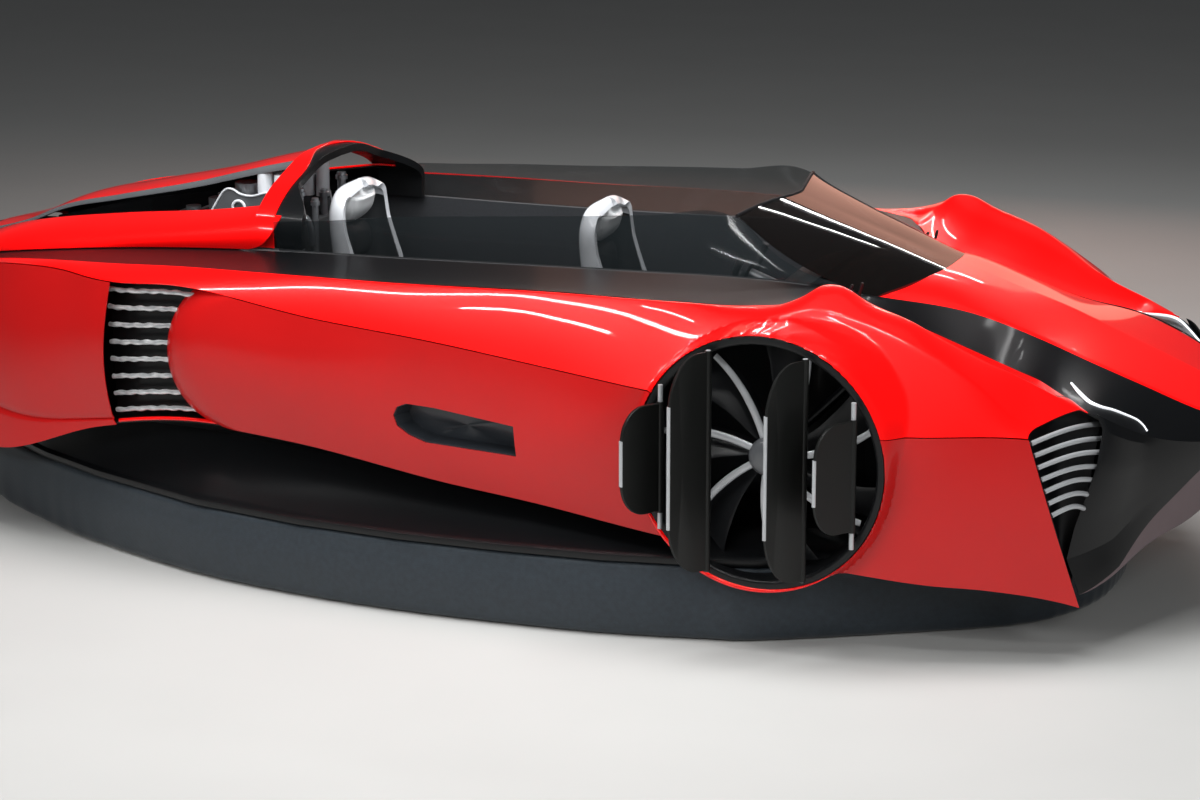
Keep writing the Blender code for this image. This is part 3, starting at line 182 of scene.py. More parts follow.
def line(name, x):
    """Points (x, y, z) of a long line, by a cubic through its rows with their mean slopes."""
    rows, slope = LINE[name], SLOPE[name]
    inside = np.clip(x, rows[0, 0], rows[-1, 0])
    i = np.clip(np.searchsorted(rows[:, 0], inside, side="right") - 1, 0, len(rows) - 2)
    h = (rows[i + 1, 0] - rows[i, 0])[..., None]
    t = (inside - rows[i, 0])[..., None] / h
    yz = ((2 * t**3 - 3 * t**2 + 1) * rows[i, 1:] + (t**3 - 2 * t**2 + t) * h * slope[i]
          + (3 * t**2 - 2 * t**3) * rows[i + 1, 1:] + (t**3 - t**2) * h * slope[i + 1])
    return np.concatenate([np.asarray(x, float)[..., None], yz], -1)


def smooth_step(low, high, x):
    """0 below low, 1 above high, and the cubic 3t^2 - 2t^3 between them."""
    t = np.clip((x - low) / (high - low), 0, 1)
    return t * t * (3 - 2 * t)


def unit(v):
    """Vectors made one long."""
    return v / np.maximum(np.linalg.norm(v, axis=-1, keepdims=True), 1e-12)


def grid_faces(nu, nv, wrap_u=False, wrap_v=False):
    """Four-cornered faces between the neighbours of an nu by nv grid, row by row."""
    i, j = np.meshgrid(np.arange(nu - (not wrap_u)), np.arange(nv - (not wrap_v)), indexing="ij")
    k, m = (i + 1) % nu, (j + 1) % nv
    return np.stack([i * nv + j, k * nv + j, k * nv + m, i * nv + m], -1).reshape(-1, 4)


def finished(name, mesh, finish, body, sharp, bevel=0.0):
    """Object of a mesh in its finish: smooth but for edges over sharp degrees, which a bevel
    rounds, and carried by its body."""
    mesh.shade_smooth()
    mesh.set_sharp_from_angle(angle=math.radians(sharp))
    mesh.materials.append(finish)
    made = bpy.data.objects.new(name, mesh)
    bpy.context.scene.collection.objects.link(made)
    if bevel:
        change = made.modifiers.new("edge", "BEVEL")
        change.width = bevel
        change.segments = 2
        change.limit_method = "ANGLE"
        change.angle_limit = math.radians(40)
        change.harden_normals = True
    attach(made, body)
    return made


def add_mesh(name, verts, faces, finish, body="craft", sharp=35.0, bevel=0.0):
    """Piece from arrays of points and faces; points that no face uses are left out."""
    verts = np.asarray(verts, float).reshape(-1, 3)
    faces = np.asarray(faces)
    used, index = np.unique(faces, return_inverse=True)
    mesh = bpy.data.meshes.new(name)
    mesh.from_pydata(verts[used].tolist(), [], index.reshape(faces.shape).tolist())
    mesh.validate()
    return finished(name, mesh, finish, body, sharp, bevel)


def mirrored(points, side):
    """Points on the port side for a side of 1, and their mirror images for -1."""
    return points * (1, side, 1)


def turn(count):
    """Even angles round a full turn."""
    return np.arange(count) / count * 2 * math.pi


def between(a, b, share):
    """Grid that runs straight from each point of a to the same point of b, at the shares."""
    return a[:, None] + (b - a)[:, None] * share[None, :, None]


def about_duct(radius, angle, y):
    """Points at a radius and an angle about the duct's axis, at |Y| y."""
    return np.stack(np.broadcast_arrays(DUCT_X + radius * np.cos(angle), y,
                                        DUCT_Z + radius * np.sin(angle)), -1)


def shell(name, grid, finish, side=1, wall=WALL, keep=None, wrap=False, body="craft",
          bevel=0.0012, sharp=35.0):
    """Panel of one thickness: the grid's surface, the same surface moved in along its
    normals by the wall, and a rim that joins the two round every free edge. The grid
    faces out where the cross product of its two directions does."""
    nu, nv = grid.shape[:2]
    across = np.gradient(grid, axis=1)
    if wrap:
        across = (np.roll(grid, -1, 1) - np.roll(grid, 1, 1)) / 2
    normal = unit(np.cross(np.gradient(grid, axis=0), across))
    faces = grid_faces(nu, nv, wrap_v=wrap)
    if keep is not None:
        faces = faces[keep.reshape(-1)]
    edges = np.concatenate([faces[:, [k, (k + 1) % 4]] for k in range(4)])
    same = np.sort(edges, 1)
    _, first, count = np.unique(same, axis=0, return_index=True, return_counts=True)
    free = edges[first[count == 1]]
    n = nu * nv
    rim = np.stack([free[:, 1], free[:, 0], free[:, 0] + n, free[:, 1] + n], 1)
    faces = np.concatenate([faces, faces[:, ::-1] + n, rim])
    if side < 0:
        faces = faces[:, ::-1]
    verts = np.concatenate([grid.reshape(-1, 3), (grid - normal * wall).reshape(-1, 3)])
    return add_mesh(name, mirrored(verts, side), faces, finish, body, sharp, bevel)


def capped(name, grid, finish, side=1, body="craft", sharp=35.0):
    """Closed piece from rings of points: the sides between the rings, and both end rings
    closed by a fan of faces about their middles."""
    nu, nv = grid.shape[:2]
    faces = grid_faces(nu, nv, wrap_v=True)
    verts = np.concatenate([grid.reshape(-1, 3), grid[[0, -1]].mean(1)])
    k = np.arange(nv)
    m = (k + 1) % nv
    last = (nu - 1) * nv
    low = np.stack([k, m, np.full(nv, nu * nv)], 1)
    high = np.stack([last + m, last + k, np.full(nv, nu * nv + 1)], 1)
    every = faces[:, ::-1].tolist() + low[:, ::-1].tolist() + high[:, ::-1].tolist()
    if side < 0:
        every = [f[::-1] for f in every]
    mesh = bpy.data.meshes.new(name)
    mesh.from_pydata(mirrored(verts, side).tolist(), [], every)
    return finished(name, mesh, finish, body, sharp)


def merged(name, parts):
    """One piece from several closed pieces."""
    bpy.ops.object.select_all(action="DESELECT")
    for part in parts:
        part.select_set(True)
    bpy.context.view_layer.objects.active = parts[0]
    bpy.ops.object.join()
    parts[0].name = name
    return parts[0]


def tube(points, radius, steps=16, flat=1.0, up=(0, 0, 1)):
    """Rings of a round or flattened bar carried along a path: each ring lies square to
    the path, and its second direction is the first one turned about the path."""
    points = np.asarray(points, float)
    along = unit(np.gradient(points, axis=0))
    first = unit(np.cross(along, np.asarray(up, float)))
    second = np.cross(first, along)
    a = turn(steps)
    r = np.broadcast_to(radius, (len(points),))[:, None, None]
    return (points[:, None] + r * (first[:, None] * np.cos(a)[None, :, None]
                                   + second[:, None] * flat * np.sin(a)[None, :, None]))


def arc(a, b, c, t):
    """Parabola from a to c at t from 0 to 1, drawn toward the control point b."""
    return (1 - t)**2 * a + 2 * t * (1 - t) * b + t**2 * c


def smooth_loop(points, count):
    """Closed curve through points, by the Catmull-Rom cubic, at count even parameters."""
    n = len(points)
    s = np.arange(count) / count * n
    i = s.astype(int)
    t = (s - i)[:, None]
    p = [points[(i + k) % n] for k in (-1, 0, 1, 2)]
    return 0.5 * (2 * p[1] + (p[2] - p[0]) * t + (2 * p[0] - 5 * p[1] + 4 * p[2] - p[3]) * t**2
                  + (3 * (p[1] - p[2]) + p[3] - p[0]) * t**3)


def smooth_path(points, count):
    """Open curve through points, by the Catmull-Rom cubic with its ends doubled."""
    points = np.asarray(points, float)
    ends = np.concatenate([2 * points[:1] - points[1:2], points, 2 * points[-1:] - points[-2:-1]])
    s = np.linspace(0, len(points) - 1 - 1e-9, count)
    i = s.astype(int)
    t = (s - i)[:, None]
    p = [ends[i + k] for k in range(4)]
    return 0.5 * (2 * p[1] + (p[2] - p[0]) * t + (2 * p[0] - 5 * p[1] + 4 * p[2] - p[3]) * t**2
                  + (3 * (p[1] - p[2]) + p[3] - p[0]) * t**3)


# Materials

def linear(colour):
    """Linear RGBA of an sRGB hex colour."""
    srgb = np.array([int(colour[k:k + 2], 16) / 255 for k in (1, 3, 5)])
    low, high = srgb / 12.92, ((srgb + 0.055) / 1.055)**2.4
    return (*np.where(srgb <= 0.04045, low, high), 1.0)


def material(name, colour, roughness, metallic=0.0, **more):
    """Principled material with its plain values set on the shader's own sockets."""
    made = bpy.data.materials.new(name)
    made.use_nodes = True
    shader = made.node_tree.nodes["Principled BSDF"]
    shader.inputs["Base Color"].default_value = linear(colour)
    shader.inputs["Roughness"].default_value = roughness
    shader.inputs["Metallic"].default_value = metallic
    for socket, value in more.items():
        shader.inputs[socket.replace("_", " ")].default_value = value
    return made


def add_node(made, kind, settings=None, **links):
    """Node with its settings; a link's value is a number, a colour or another node's socket."""
    node = made.node_tree.nodes.new(kind)
    for key, value in (settings or {}).items():
        setattr(node, key, value)
    for key, value in links.items():
        socket = node.inputs[int(key[1:]) if key[0] == "i" and key[1:].isdigit() else key]
        if isinstance(value, bpy.types.NodeSocket):
            made.node_tree.links.new(value, socket)
        else:
            socket.default_value = value
    return node


def shader_of(made):
    return made.node_tree.nodes["Principled BSDF"]


def link(made, output, socket):
    made.node_tree.links.new(output, shader_of(made).inputs[socket])


def noise(made, size, detail=2.0, stretch=(1, 1, 1), contrast=None):
    """Noise whose grain is about size metres wide, on Object coordinates."""
    place = add_node(made, "ShaderNodeTexCoord").outputs["Object"]
    scaled = add_node(made, "ShaderNodeMapping", Vector=place, Scale=stretch).outputs[0]
    made_noise = add_node(made, "ShaderNodeTexNoise", Vector=scaled, Scale=1 / size, Detail=detail)
    if contrast is None:
        return made_noise.outputs["Fac"]
    ramp = add_node(made, "ShaderNodeMapRange", Value=made_noise.outputs["Fac"])
    ramp.inputs["From Min"].default_value = contrast[0]
    ramp.inputs["From Max"].default_value = contrast[1]
    return ramp.outputs["Result"]


def tint(made, amount, low, high):
    """Base colour between two hex colours by an amount socket."""
    mix = add_node(made, "ShaderNodeMix", {"data_type": "RGBA"}, i0=amount, i6=linear(low), i7=linear(high))
    link(made, mix.outputs[2], "Base Color")


def rough(made, amount, low, high):
    """Roughness between two values by an amount socket."""
    spread = add_node(made, "ShaderNodeMapRange", Value=amount)
    spread.inputs["To Min"].default_value = low
    spread.inputs["To Max"].default_value = high
    link(made, spread.outputs["Result"], "Roughness")


def bump(made, height, distance, strength=1.0):
    """Bump of a height socket, distance metres deep."""
    relief = add_node(made, "ShaderNodeBump", Height=height, Distance=distance, Strength=strength)
    link(made, relief.outputs["Normal"], "Normal")


def red_lacquer():
    """Two-coat polyester lacquer sprayed on composite and polished: a saturated red under
    a clear coat, with orange peel about 6 mm wide and a faint drift of depth."""
    made = material("polished_red_lacquer", "#ff0404", 0.34, Coat_Weight=0.9, Coat_Roughness=0.035,
                    Specular_IOR_Level=0.3)
    tint(made, noise(made, 0.35), "#fa0303", "#ff0606")
    bump(made, noise(made, 0.006, 1.0), 0.00004)
    return made


def deep_red_lacquer():
    """The same lacquer on the sides, a little less polished, its red painted darker than the tops' as painted
    shade on sides that face away from the light above.
    """
    made = material("deep_red_lacquer", "#c01212", 0.36, Coat_Weight=0.4, Coat_Roughness=0.08,
                    Specular_IOR_Level=0.3)
    tint(made, noise(made, 0.4), "#b81010", "#c81414")
    bump(made, noise(made, 0.006, 1.0), 0.00004)
    return made


def black_lacquer():
    """Piano-black lacquer on moulded composite: near black with a hard clear gloss."""
    made = material("polished_black_lacquer", "#0c0d0e", 0.42, Coat_Weight=0.14, Coat_Roughness=0.08,
                    Specular_IOR_Level=0.3)
    tint(made, noise(made, 0.3), "#0a0b0c", "#0f1012")
    bump(made, noise(made, 0.006, 1.0), 0.00003)
    return made


def grey_lacquer():
    """Satin graphite lacquer on the rails beside the spine."""
    made = material("satin_graphite_lacquer", "#55575a", 0.3, Coat_Weight=0.5, Coat_Roughness=0.1)
    tint(made, noise(made, 0.12), "#4e5053", "#5e6063")
    return made


def skirt_fabric():
    """Neoprene-coated nylon, calendered: dark blue-grey, dull, with a plain weave of 1.2 mm
    threads drawn 4 mm wide so that it shows, and scuffs as blotches of tone all over."""
    made = material("coated_nylon_fabric", "#2a3138", 0.62, Sheen_Weight=0.25, Sheen_Roughness=0.4)
    place = add_node(made, "ShaderNodeTexCoord").outputs["Object"]
    threads = [add_node(made, "ShaderNodeTexWave", {"bands_direction": way}, Vector=place,
                        Scale=1 / 0.004 / 6.28, Distortion=0.6, Detail=1.0).outputs["Fac"]
               for way in ("Z", "DIAGONAL")]
    weave = add_node(made, "ShaderNodeMath", {"operation": "MAXIMUM"}, i0=threads[0], i1=threads[1])
    bump(made, weave.outputs[0], 0.0004, 0.5)
    tint(made, noise(made, 0.02, 6.0, contrast=(0.3, 0.8)), "#262d33", "#30383f")
    rough(made, noise(made, 0.02, 5.0), 0.55, 0.7)
    return made


def window_tint():
    """Dyed acrylic sheet, cast and polished: a grey-green tint you can look through."""
    made = material("tinted_acrylic", "#1b2022", 0.08, Specular_IOR_Level=0.3, Alpha=0.42)
    made.surface_render_method = "BLENDED"
    return made


def screen_tint():
    """Bronze-dyed acrylic for the windshield, darker than the side glass."""
    made = material("bronze_acrylic", "#0c0908", 0.04, Coat_Weight=0.6, Coat_Roughness=0.02,
                    Alpha=0.78)
    made.surface_render_method = "BLENDED"
    return made


def worn_chrome():
    """Cast aluminium bars under bright plating: pale, with long soft ripples 40 mm apart."""
    made = material("plated_casting", "#e4e6e8", 0.32, 0.55)
    ripple = noise(made, 0.014, 2.0, (0.35, 1, 1), contrast=(0.3, 0.7))
    tint(made, ripple, "#b4b7ba", "#f2f4f5")
    bump(made, ripple, 0.0006)
    return made


def satin_bar():
    """Extruded aluminium, etched and clear anodised: an even soft grey."""
    made = material("satin_aluminium", "#c4c7ca", 0.36, 0.5)
    rough(made, noise(made, 0.006, 3.0, (0.1, 0.1, 1)), 0.36, 0.5)
    return made


def anodised_black():
    """Aluminium plate, bead-blasted and anodised black: dull with a fine grain."""
    made = material("anodised_aluminium", "#121312", 0.46, 0.2)
    grain = noise(made, 0.0025, 3.0)
    rough(made, grain, 0.38, 0.55)
    bump(made, grain, 0.00005)
    return made


def dark_shell():
    """Black glass-filled nylon of the fan and stators, moulded with a slight sheen."""
    made = material("moulded_nylon", "#101113", 0.38)
    rough(made, noise(made, 0.02), 0.3, 0.5)
    bump(made, noise(made, 0.004), 0.0001)
    return made


def liner_cloth():
    """Charcoal needle-felt trim inside the tub: matt, flecked, with a nap 3 mm wide."""
    made = material("needle_felt", "#26282b", 0.9, Sheen_Weight=0.2)
    tint(made, noise(made, 0.004, 5.0, contrast=(0.3, 0.7)), "#1f2124", "#303236")
    bump(made, noise(made, 0.003, 3.0), 0.0006)
    return made


def seat_white():
    """White gel-coated glass-fibre seat shell: bright, glossy and slightly wavy."""
    made = material("white_gelcoat", "#d9dde2", 0.25, Coat_Weight=0.7, Coat_Roughness=0.05)
    tint(made, noise(made, 0.1), "#d2d6dc", "#e3e6ea")
    bump(made, noise(made, 0.02), 0.0001)
    return made


def seat_hide():
    """Black leather, milled: a pebble grain 2.5 mm wide with a soft gloss on its tops."""
    made = material("milled_leather", "#26282a", 0.5)
    place = add_node(made, "ShaderNodeTexCoord").outputs["Object"]
    cells = add_node(made, "ShaderNodeTexVoronoi", {"feature": "DISTANCE_TO_EDGE"}, Vector=place,
                     Scale=1 / 0.0025)
    edge = add_node(made, "ShaderNodeMapRange", Value=cells.outputs["Distance"])
    edge.inputs["From Max"].default_value = 0.25
    bump(made, edge.outputs["Result"], 0.0003)
    rough(made, noise(made, 0.03, 4.0), 0.4, 0.62)
    return made


def pale_hide():
    """Off-white leather, milled and drawn over foam: a soft sheen and a fine pebble grain."""
    made = material("off_white_leather", "#cfd2d4", 0.42, Coat_Weight=0.15)
    rough(made, noise(made, 0.03, 4.0), 0.34, 0.52)
    bump(made, noise(made, 0.003, 3.0), 0.00015)
    return made


def engine_alloy():
    """Machined and bead-blasted aluminium castings: pale grey with a coarse skin."""
    made = material("blasted_aluminium", "#b9bcc0", 0.34, 0.9)
    rough(made, noise(made, 0.01, 4.0), 0.24, 0.46)
    bump(made, noise(made, 0.003, 3.0), 0.0002)
    return made


def lamp_lens():
    """Opal polycarbonate light guide: milky white, glowing faintly."""
    made = material("opal_polycarbonate", "#f2f5f8", 0.18, Coat_Weight=0.5, Emission_Strength=0.6)
    shader_of(made).inputs["Emission Color"].default_value = linear("#eef3fa")
    tint(made, noise(made, 0.05), "#e9edf2", "#fafcff")
    return made


def lamp_red():
    """Red acrylic lens with moulded ribs 6 mm apart."""
    made = material("ribbed_red_acrylic", "#7a0808", 0.15, Coat_Weight=0.6)
    place = add_node(made, "ShaderNodeTexCoord").outputs["Object"]
    ribs = add_node(made, "ShaderNodeTexWave", {"bands_direction": "Y"}, Vector=place,
                    Scale=1 / 0.006 / 6.28).outputs["Fac"]
    tint(made, ribs, "#5c0505", "#a30d0d")
    bump(made, ribs, 0.0008)
    return made


def dark_rubber():
    """Moulded rubber of the seals and skids: black, dull, lightly grained."""
    made = material("moulded_rubber", "#131416", 0.7)
    bump(made, noise(made, 0.004, 3.0), 0.0003)
    rough(made, noise(made, 0.05, 4.0), 0.6, 0.82)
    return made


def pale_floor():
    """Painted studio floor: warm white, matt, with a faint mottling."""
    made = material("matt_floor_paint", "#b8b8b6", 0.8)
    tint(made, noise(made, 0.8, 3.0), "#b5b5b3", "#bbbbb9")
    return made


def slate_lacquer():
    """Satin slate-grey lacquer inside the air slots."""
    made = material("satin_slate_lacquer", "#2a2e33", 0.4, Coat_Weight=0.3, Coat_Roughness=0.15)
    tint(made, noise(made, 0.1), "#25292e", "#2f3338")
    return made


def black_lacquer_painted_reflection():
    """Satin lacquer on the bow's lower facet, painted plum-grey as a painted reflection where the bow's
    lacquer is black.
    """
    made = material("satin_plum_lacquer", "#5a474b", 0.38, Coat_Weight=0.3, Coat_Roughness=0.15)
    tint(made, noise(made, 0.1), "#544246", "#604d51")
    return made


SLATE, PLUM_REFLECTION = slate_lacquer(), black_lacquer_painted_reflection()
# The second red is the tops' lacquer painted darker, as painted shade on the flanks.
RED, SHADED_RED, BLACK, GREY = red_lacquer(), deep_red_lacquer(), black_lacquer(), grey_lacquer()
FABRIC, WINDOW, SCREEN = skirt_fabric(), window_tint(), screen_tint()
CHROME, SATIN, PLATE = worn_chrome(), satin_bar(), anodised_black()
NYLON, FELT, GEL = dark_shell(), liner_cloth(), seat_white()
HIDE, PALE = seat_hide(), pale_hide()
ALLOY, LENS, TAIL, RUBBER = engine_alloy(), lamp_lens(), lamp_red(), dark_rubber()


# Body panels

def even(start, stop, step):
    """Stations from start to stop about a step apart."""
    return np.linspace(start, stop, max(2, int(round((stop - start) / step)) + 1))


def pod_stations(start):
    """Stations along a pod, closer together round the duct."""
    near = DUCT_OUT + COLLAR + 0.04
    return np.concatenate([even(start, DUCT_X - near, 0.016)[:-1],
                           even(DUCT_X - near, DUCT_X + near, 0.0085)[:-1],
                           even(DUCT_X + near, POD_NOSE, 0.012)])


def to_front(grid, curl=0.0):
    """Where the rows of a pod's grid meet the raked front plane, in x: found between the two
    grid points on either side of it. The middle rows curl back further."""
    top, foot, inner = FRONT_PLANE
    normal = unit(np.cross(inner - top, foot - top))
    reach = (grid - top) @ normal
    reach = reach if reach[0, 0] < 0 else -reach
    hits = np.argmax(reach > 0, axis=0)
    hits = np.where((reach > 0).any(0), hits, len(grid) - 1)
    rows = np.arange(grid.shape[1])
    a, b = reach[hits - 1, rows], reach[hits, rows]
    t = np.clip(-a / np.where(b - a == 0, 1, b - a), 0, 1)
    end = grid[hits - 1, rows, 0] + t * (grid[hits, rows, 0] - grid[hits - 1, rows, 0])
    v = np.linspace(0, 1, grid.shape[1])
    return end - curl * np.sin(math.pi * v)


def lifted(grid):
    """Collar: round the duct the outer skin rises along Y to the rim, by a smooth step of
    the distance from the duct's edge, far out on the upper bow side and close by elsewhere.
    Points of the outer skin inside the hole move out to its edge."""
    dx, dz = grid[..., 0] - DUCT_X, grid[..., 2] - DUCT_Z
    r = np.maximum(np.hypot(dx, dz), 1e-6)
    hole = DUCT_OUT + LIP
    upper_bow = smooth_step(-0.1, 0.8, dx / r) * smooth_step(-0.1, 0.5, dz / r)
    reach = COLLAR_AFT + (COLLAR - COLLAR_AFT) * upper_bow
    outside = (r > hole) | (grid[..., 1] < 0.9)
    keep = outside[:-1, :-1] | outside[1:, :-1] | outside[1:, 1:] | outside[:-1, 1:]
    pull = np.where(outside, 1, hole / r)
    rise = (1 - smooth_step(hole, hole + reach, r)) * smooth_step(0.88, 0.98, grid[..., 1])
    moved = np.stack([DUCT_X + dx * pull, grid[..., 1], DUCT_Z + dz * pull], -1)
    moved[..., 1] += np.maximum(DUCT_FACE - grid[..., 1], 0) * rise
    return moved, keep


def top_grid(x):
    """Section over a pod at x for each of its columns: a hollow inner wall from the sill up
    to the brow line, then over the crest to the crease, in a round shoulder aft that
    hardens into a ridge along the fender."""
    wall, over = np.linspace(0, 1, 17)[:-1], np.linspace(0, 1, 40)
    t = np.concatenate([wall, over])[:, None]
    sill, brow, crest, crease = (line(name, x) for name in ("sill", "brow", "crest", "crease"))
    sill = sill + (0, SEAM, 0)
    sill[..., 2] -= 0.006 * (1 - smooth_step(0.9, 1.1, x))
    wall_high = smooth_step(0.01, 0.04, brow[..., 2:] - sill[..., 2:])
    pull = np.concatenate([0 * wall_high, 1 - 0.75 * wall_high, 0.85 * wall_high], -1)
    inner = arc(sill, brow + (sill - brow) * pull, brow, t)
    runs = np.where(t < 0.5, brow + (crest - brow) * 2 * t, crest + (crease - crest) * (2 * t - 1))
    soft = 1 - 0.75 * smooth_step(0.75, 1.35, x)[..., None]
    outer = runs + (arc(brow, 2 * crest - (brow + crease) / 2, crease, t) - runs) * soft
    return np.where(np.arange(len(t))[:, None] < len(wall), inner, outer)


def pod_top(side, tag):
    xs = pod_stations(POD_REAR)
    x = np.broadcast_to(xs[:, None], (len(xs), 56))
    end = to_front(top_grid(x), 0.03)
    x = x + (end - POD_NOSE) * smooth_step(1.35, POD_NOSE, x)
    grid, keep = lifted(top_grid(x))
    made = shell(f"upper_pod_{tag}", grid[:, ::-1], RED, side, keep=keep[:, ::-1], sharp=50)
    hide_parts(f"pod_top_{tag}")


def side_rows(x, v):
    """Flank of a pod: from the crease to the flank line, crowned by a half sine."""
    a, c = line("crease", x) - (0, 0, SEAM), line("flank", x)
    t = v[..., None]
    crown = (0.022 + 0.03 * (1 - smooth_step(-1.3, -0.2, x))) * (1 - smooth_step(0.4, 0.9, x))
    crown = crown + 0.012 * smooth_step(1.5, 1.8, x)
    grid = a + (c - a) * t
    grid[..., 1] += crown * np.sin(math.pi * v)
    return grid


def flank_end(v):
    """Where the flank's rows end, on the straight raked edge of the front plane in side
    view, found by going to the edge's x at each row's height five times."""
    top, foot = FRONT_PLANE[0], FRONT_PLANE[1]
    x = np.full_like(v, 2.0)
    for _ in range(5):
        x = top[0] + (foot[0] - top[0]) * (top[2] - side_rows(x, v)[..., 2]) / (top[2] - foot[2])
    return x


def pod_side(side, tag):
    """Flank with a bullet-shaped rear end: each row starts on a half circle in side view
    and curls in toward the vent over the last 0.16 m."""
    v = np.linspace(0, 1, 34)
    start = BULLET + BULLET_ROUND * (1 - np.sqrt(1 - (2 * v - 1)**2 * 0.985))
    xs = np.concatenate([np.linspace(BULLET, 0, 110), pod_stations(0.0)[1:]])
    x = xs[:, None] + (start - BULLET)[None] * (1 - smooth_step(BULLET, -0.3, xs))[:, None]
    x = x + (flank_end(v)[None] - POD_NOSE) * smooth_step(1.35, POD_NOSE, xs)[:, None]
    grid = side_rows(x, np.broadcast_to(v, x.shape))
    length, depth = BULLET_CURL
    curl = np.clip((x - start[None]) / length, 0, 1)
    grid[..., 1] -= depth * (1 - np.sqrt(1 - (1 - curl)**2))
    grid, keep = lifted(grid)
    # The flank takes the darker red: painted shade.
    made = shell(f"pod_flank_{tag}", grid[:, ::-1], SHADED_RED, side, keep=keep[:, ::-1], sharp=50)
    opened(made, slot_outline(), side)
    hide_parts(f"pod_side_{tag}")
    return made


def opened(piece, outline, side):
    """Cut an opening of the outline's (x, z) corners through a panel, along Y."""
    n = len(outline)
    rows = np.array([[(x, side * y, z) for x, z in outline] for y in (0.9, 1.5)])
    k = np.arange(n)
    m = (k + 1) % n
    walls = np.stack([k, m, n + m, n + k], 1)
    faces = [k[::-1].tolist(), (k + n).tolist(), *walls.tolist()]
    mesh = bpy.data.meshes.new("opening")
    mesh.from_pydata(rows.reshape(-1, 3).tolist(), [], [f[::-side] for f in faces])
    cutter = bpy.data.objects.new("opening", mesh)
    bpy.context.scene.collection.objects.link(cutter)
    change = piece.modifiers.new("opening", "BOOLEAN")
    change.operation = "DIFFERENCE"
    change.solver = "EXACT"
    change.object = cutter
    piece.modifiers.move(len(piece.modifiers) - 1, 0)
    bpy.context.view_layer.objects.active = piece
    bpy.ops.object.modifier_apply(modifier=change.name)
    bpy.data.objects.remove(cutter)


def flank_y(x, z):
    """|Y| of a pod's flank at points (x, z), from its share of the way down from the crease."""
    top, foot = line("crease", x), line("flank", x)
    return side_rows(x, (top[..., 2] - z) / (top[..., 2] - foot[..., 2]))[..., 1]


def side_slot(side, tag):
    """Tray behind the pod's air slot: walls along the slot's outline that run in to a floor."""
    outline = slot_outline()
    middle = outline.mean(0)
    skin = flank_y(outline[:, 0], outline[:, 1])
    rings = []
    for grow, depth in ((1.05, WALL), (1.0, WALL - 0.0005), (0.97, 0.03), (0.93, 0.075), (0.90, 0.085),
                        (0.5, 0.087), (0.0, 0.087)):
        flat = middle + (outline - middle) * grow
        rings.append(np.stack([flat[:, 0], skin - depth, flat[:, 1]], -1))
    made = shell(f"side_slot_tray_{tag}", np.array(rings)[:, ::-1], SLATE, side, wall=0.003, wrap=True)


def slot_outline():
    """Corners (x, z) of the air slot: slanting long edges and a round rear end."""
    corners = np.array([(0.113, 0.711), (-0.194, 0.748), (-0.303, 0.753), (-0.338, 0.738),
                        (-0.355, 0.705), (-0.343, 0.665), (-0.300, 0.635), (-0.235, 0.612),
                        (0.119, 0.598)])
    runs = [np.linspace(a, b, max(2, int(np.hypot(*(b - a)) / 0.02) + 1))[:-1]
            for a, b in zip(corners, np.roll(corners, -1, 0))]
    return np.concatenate(runs)


def rear_side(side, tag):
    """Rear flank aft of the vent: a groove near its foot parts a lower facet that kicks out."""
    v = np.linspace(0, 1, 60)
    xs = even(POD_REAR, VENT_REAR, 0.012)
    bow = 0.02 * np.sin(math.pi * v) + 0.012 * v
    x = xs[:, None] - bow[None] * smooth_step(-2.0, VENT_REAR, xs)[:, None]
    split = 0.72 + 0.24 * smooth_step(-2.4, VENT_REAR, x)
    vv = np.where(v < 0.7, split * v / 0.7, split + (1 - split) * (v - 0.7) / 0.3)
    grid = side_rows(x, vv)
    grid[..., 1] -= 0.008 * np.exp(-((v - 0.7) / 0.014)**2)
    grid[..., 1] += 0.05 * np.clip(vv - split, 0, 1) / 0.3
    # The rear flank takes the darker red: painted shade.
    made = shell(f"rear_flank_{tag}", grid[:, ::-1], SHADED_RED, side)
    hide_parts(f"rear_side_{tag}")


def pod_under(side, tag):
    """Dark underside from the flank line in to the hull, dished by a half sine."""
    xs = even(POD_REAR, POD_NOSE - 0.03, 0.02)
    v = np.linspace(0, 1, 14)
    a, c = line("flank", xs) + (0, -0.012, 0.004), line("tuck", xs)
    grid = between(a, c, v)
    grid[..., 2] += 0.02 * np.sin(math.pi * v)
    r = np.hypot(grid[..., 0] - DUCT_X, grid[..., 2] - DUCT_Z)
    outside = (r > DUCT_OUT) | (grid[..., 1] < DUCT_BACK)
    keep = outside[:-1, :-1] & outside[1:, :-1] & outside[1:, 1:] & outside[:-1, 1:]
    made = shell(f"pod_underside_{tag}", grid[:, ::-1], BLACK, side, keep=keep[:, ::-1])


def deck(x, v):
    """Black deck between the body's inner edge and its sill: straight across at shares v,
    with a dish as deep as the deck is wide enough for, which fades toward the bow's tip."""
    edge, sill = line("edge", x), line("sill", x) - (0, SEAM, 0)
    points = edge + (sill - edge) * v[..., None]
    deep = 0.004 * (1 - smooth_step(2.1, 2.5, x))
    narrow = np.clip((sill[..., 1] - edge[..., 1]) / 0.3, 0, 1)
    points[..., 2] -= deep * narrow * np.sin(math.pi * v)
    return points


def waist_strip(side, tag):
    """Black deck from the glass out to the sill, then the channel by the bonnet, to the bow."""
    x, v = np.meshgrid(even(POD_REAR, BOW - 0.004, 0.02), np.linspace(0, 1, 16), indexing="ij")
    made = shell(f"deck_strip_{tag}", deck(x, v), BLACK, side)
    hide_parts(f"waist_strip_{tag}")


def foot_x(y):
    """Where the windshield's foot and the bonnet's rear edge run: aft of the apex by the
    power 3.5 of the distance out, so that the bonnet ends in two drawn-out tips."""
    return 1.395 - 0.195 * (np.abs(y) / 0.40)**3.5


